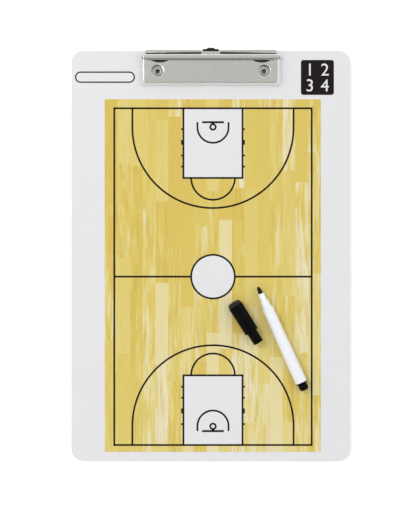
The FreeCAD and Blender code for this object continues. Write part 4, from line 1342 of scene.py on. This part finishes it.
felt_corners = [
    (FELT_FOOT, 0, 0),
    (FELT_FOOT, FELT_SHANK, 0),
    (HEAD_END, FELT_SHANK, 0),
    (HEAD_END, FELT_RADIUS, 0.1),
    (37.6, FELT_RADIUS, 0),
    (FELT_END, FELT_RADIUS, 2.9),
    (FELT_END, 2.2, 0),
    (FELT_END, 1.1, 0),
    (FELT_END, 0, 0),
]
felt_mesh = turned(felt_wool, felt_corners, CAP_MOUTH, CAP_WAY, easing=10)
dome = felt_mesh.attributes.new("dome", "FLOAT", "POINT")
for vertex in felt_mesh.vertices:
    station = (vertex.co / MM - CAP_MOUTH).dot(CAP_WAY)
    if station > HEAD_END + FELT_LIP:
        dome.data[vertex.index].value = 1
        lump = sum(noise.noise(vertex.co / (grain * MM)) * height for grain, height in LUMPS)
        vertex.co += vertex.normal * (lump * MM)
piece("felt_wiper", felt_mesh, "cap", "felt", "cap_eraser_felt")

fuzz_tree, given = new_tree(
    "felt_fuzz",
    {
        "Hairs per area": "NodeSocketFloat",
        "Hair length": "NodeSocketFloat",
        "Hair radius": "NodeSocketFloat",
        "Wool": "NodeSocketMaterial",
    },
)
on_dome = node(fuzz_tree, "GeometryNodeInputNamedAttribute", {"Name": "dome"}, data_type="FLOAT")
crowd = node(fuzz_tree, "ShaderNodeMath", {0: on_dome, 1: given["Hairs per area"]}, operation="MULTIPLY")
roots = node(
    fuzz_tree,
    "GeometryNodeDistributePointsOnFaces",
    {"Mesh": given["Geometry"], "Density": crowd, "Seed": 5},
).outputs
lean = node(
    fuzz_tree,
    "FunctionNodeRandomValue",
    {0: [-share for share in HAIR_LEAN], 1: HAIR_LEAN, "Seed": 6},
    data_type="FLOAT_VECTOR",
)
tilted = node(
    fuzz_tree,
    "FunctionNodeRotateRotation",
    {0: roots["Rotation"], 1: lean},
    rotation_space="LOCAL",
)
hair = node(
    fuzz_tree,
    "GeometryNodeMeshCone",
    {
        "Vertices": 3,
        "Side Segments": 2,
        "Radius Top": 0,
        "Radius Bottom": given["Hair radius"],
        "Depth": given["Hair length"],
    },
)
stretch = node(fuzz_tree, "FunctionNodeRandomValue", {2: 0.4, 3: 1, "Seed": 8}, data_type="FLOAT").outputs[1]
hairs = node(
    fuzz_tree,
    "GeometryNodeInstanceOnPoints",
    {"Points": roots["Points"], "Instance": hair, "Rotation": tilted, "Scale": stretch},
)
end_tree(fuzz_tree, hairs, given["Wool"])
fuzz_values = {
    "Hairs per area": HAIRS["per_mm2"] / MM ** 2,
    "Hair length": HAIRS["length"] * MM,
    "Hair radius": HAIRS["radius"] * MM,
    "Wool": felt_wool,
}
piece("felt_fuzz", grown(felt_mesh, fuzz_tree, fuzz_values), "cap", "felt")


# Studio: a white table under the board, and a small soft lamp high on the left.
# The sky is white at the horizon and grey above, lighter at both sides and dark towards the front.
# The camera looks straight down from 1.2 m above the face.

TABLE_HALF = 4
TABLE_DROP = 0.3 * MM
TABLE_LIFT = 0.2
LAMP_SPOT = Vector((-0.8, 0.5, 1.5))
LAMP_SIZE = 0.3
LAMP_POWER = 6
VIEW_DISTANCE = 1.2
VIEW_HEIGHT = 0.4375
VIEW_ACROSS = -0.0007
VIEW_ALONG = 0.0016
SENSOR = 24

# Matt table paper: white, lifted a little where it is seen or mirrored, so that its shadow stays soft.
table_white, tree, shader, where = new_finish("matt_white_table")
ray = node(tree, "ShaderNodeLightPath").outputs
seen = node(tree, "ShaderNodeMath", {0: ray["Is Camera Ray"], 1: ray["Is Glossy Ray"]}, operation="MAXIMUM")
shown = node(tree, "ShaderNodeMath", {0: seen, 1: ray["Is Transmission Ray"]}, operation="MAXIMUM")
lifted = node(tree, "ShaderNodeMath", {0: shown, 1: TABLE_LIFT}, operation="MULTIPLY")
feed(
    tree,
    shader,
    {
        "Base Color": linear("#FAFAFA"),
        "Roughness": 0.9,
        "Specular IOR Level": 0,
        "Emission Color": (1, 1, 1, 1),
        "Emission Strength": lifted,
    },
)
table_sides = ((-1, -1), (1, -1), (1, 1), (-1, 1))
table_corners = [(across * TABLE_HALF, along * TABLE_HALF, -TABLE_DROP) for across, along in table_sides]
table_mesh = bpy.data.meshes.new("studio_table")
table_mesh.from_pydata(table_corners, [], [(0, 1, 2, 3)])
table_mesh.materials.append(table_white)
placed("studio_table", table_mesh)

sky = bpy.data.worlds.new("studio_sky")
sky.use_nodes = True
tree = sky.node_tree
way_out = node(tree, "ShaderNodeTexCoord").outputs["Generated"]
toward = node(tree, "ShaderNodeSeparateXYZ", {0: way_out}).outputs
rearward = node(tree, "ShaderNodeMapRange", {"Value": toward["Y"], "From Min": -1, "From Max": 1})
glow = node(tree, "ShaderNodeValToRGB", {0: rearward})
levels = [(0, 0.11), (0.12, 0.27), (0.2, 0.47), (0.4, 0.45), (0.5, 0.47), (0.65, 0.54), (1, 0.54)]
set_stops(glow.color_ramp, [(place, (level, level, level, 1)) for place, level in levels])
sideways = node(tree, "ShaderNodeMath", {0: toward["X"]}, operation="ABSOLUTE")
banks = node(
    tree,
    "ShaderNodeMapRange",
    {"Value": sideways, "From Min": 0.08, "From Max": 0.5, "To Min": 1, "To Max": 2.5},
)
raised = node(tree, "ShaderNodeMapRange", {"Value": toward["Z"], "From Min": 0.14, "From Max": 0.34})
ceiling = node(tree, "ShaderNodeMath", {0: banks, 1: raised}, operation="MULTIPLY")
horizon = node(
    tree,
    "ShaderNodeMapRange",
    {"Value": toward["Z"], "From Min": 0.1, "From Max": 0.14, "To Min": 1, "To Max": 0},
)
lit = node(tree, "ShaderNodeVectorMath", {0: glow, 1: ceiling, 2: horizon}, operation="MULTIPLY_ADD")
feed(tree, tree.nodes["Background"], {"Color": lit, "Strength": 1})
bpy.context.scene.world = sky

lamp_data = bpy.data.lights.new("left_softbox", "AREA")
lamp_data.size = LAMP_SIZE
lamp_data.energy = LAMP_POWER
lamp = placed("left_softbox", lamp_data)
lamp.location = LAMP_SPOT
lamp.rotation_euler = LAMP_SPOT.to_track_quat("Z", "Y").to_euler()

camera_data = bpy.data.cameras.new("overhead_camera")
camera_data.sensor_fit = "VERTICAL"
camera_data.sensor_height = SENSOR
camera_data.lens = SENSOR * VIEW_DISTANCE / VIEW_HEIGHT
camera = placed("overhead_camera", camera_data)
camera.location = (VIEW_ACROSS, VIEW_ALONG, VIEW_DISTANCE + FACE * MM)
bpy.context.scene.camera = camera
bpy.context.scene.view_settings.view_transform = "Standard"
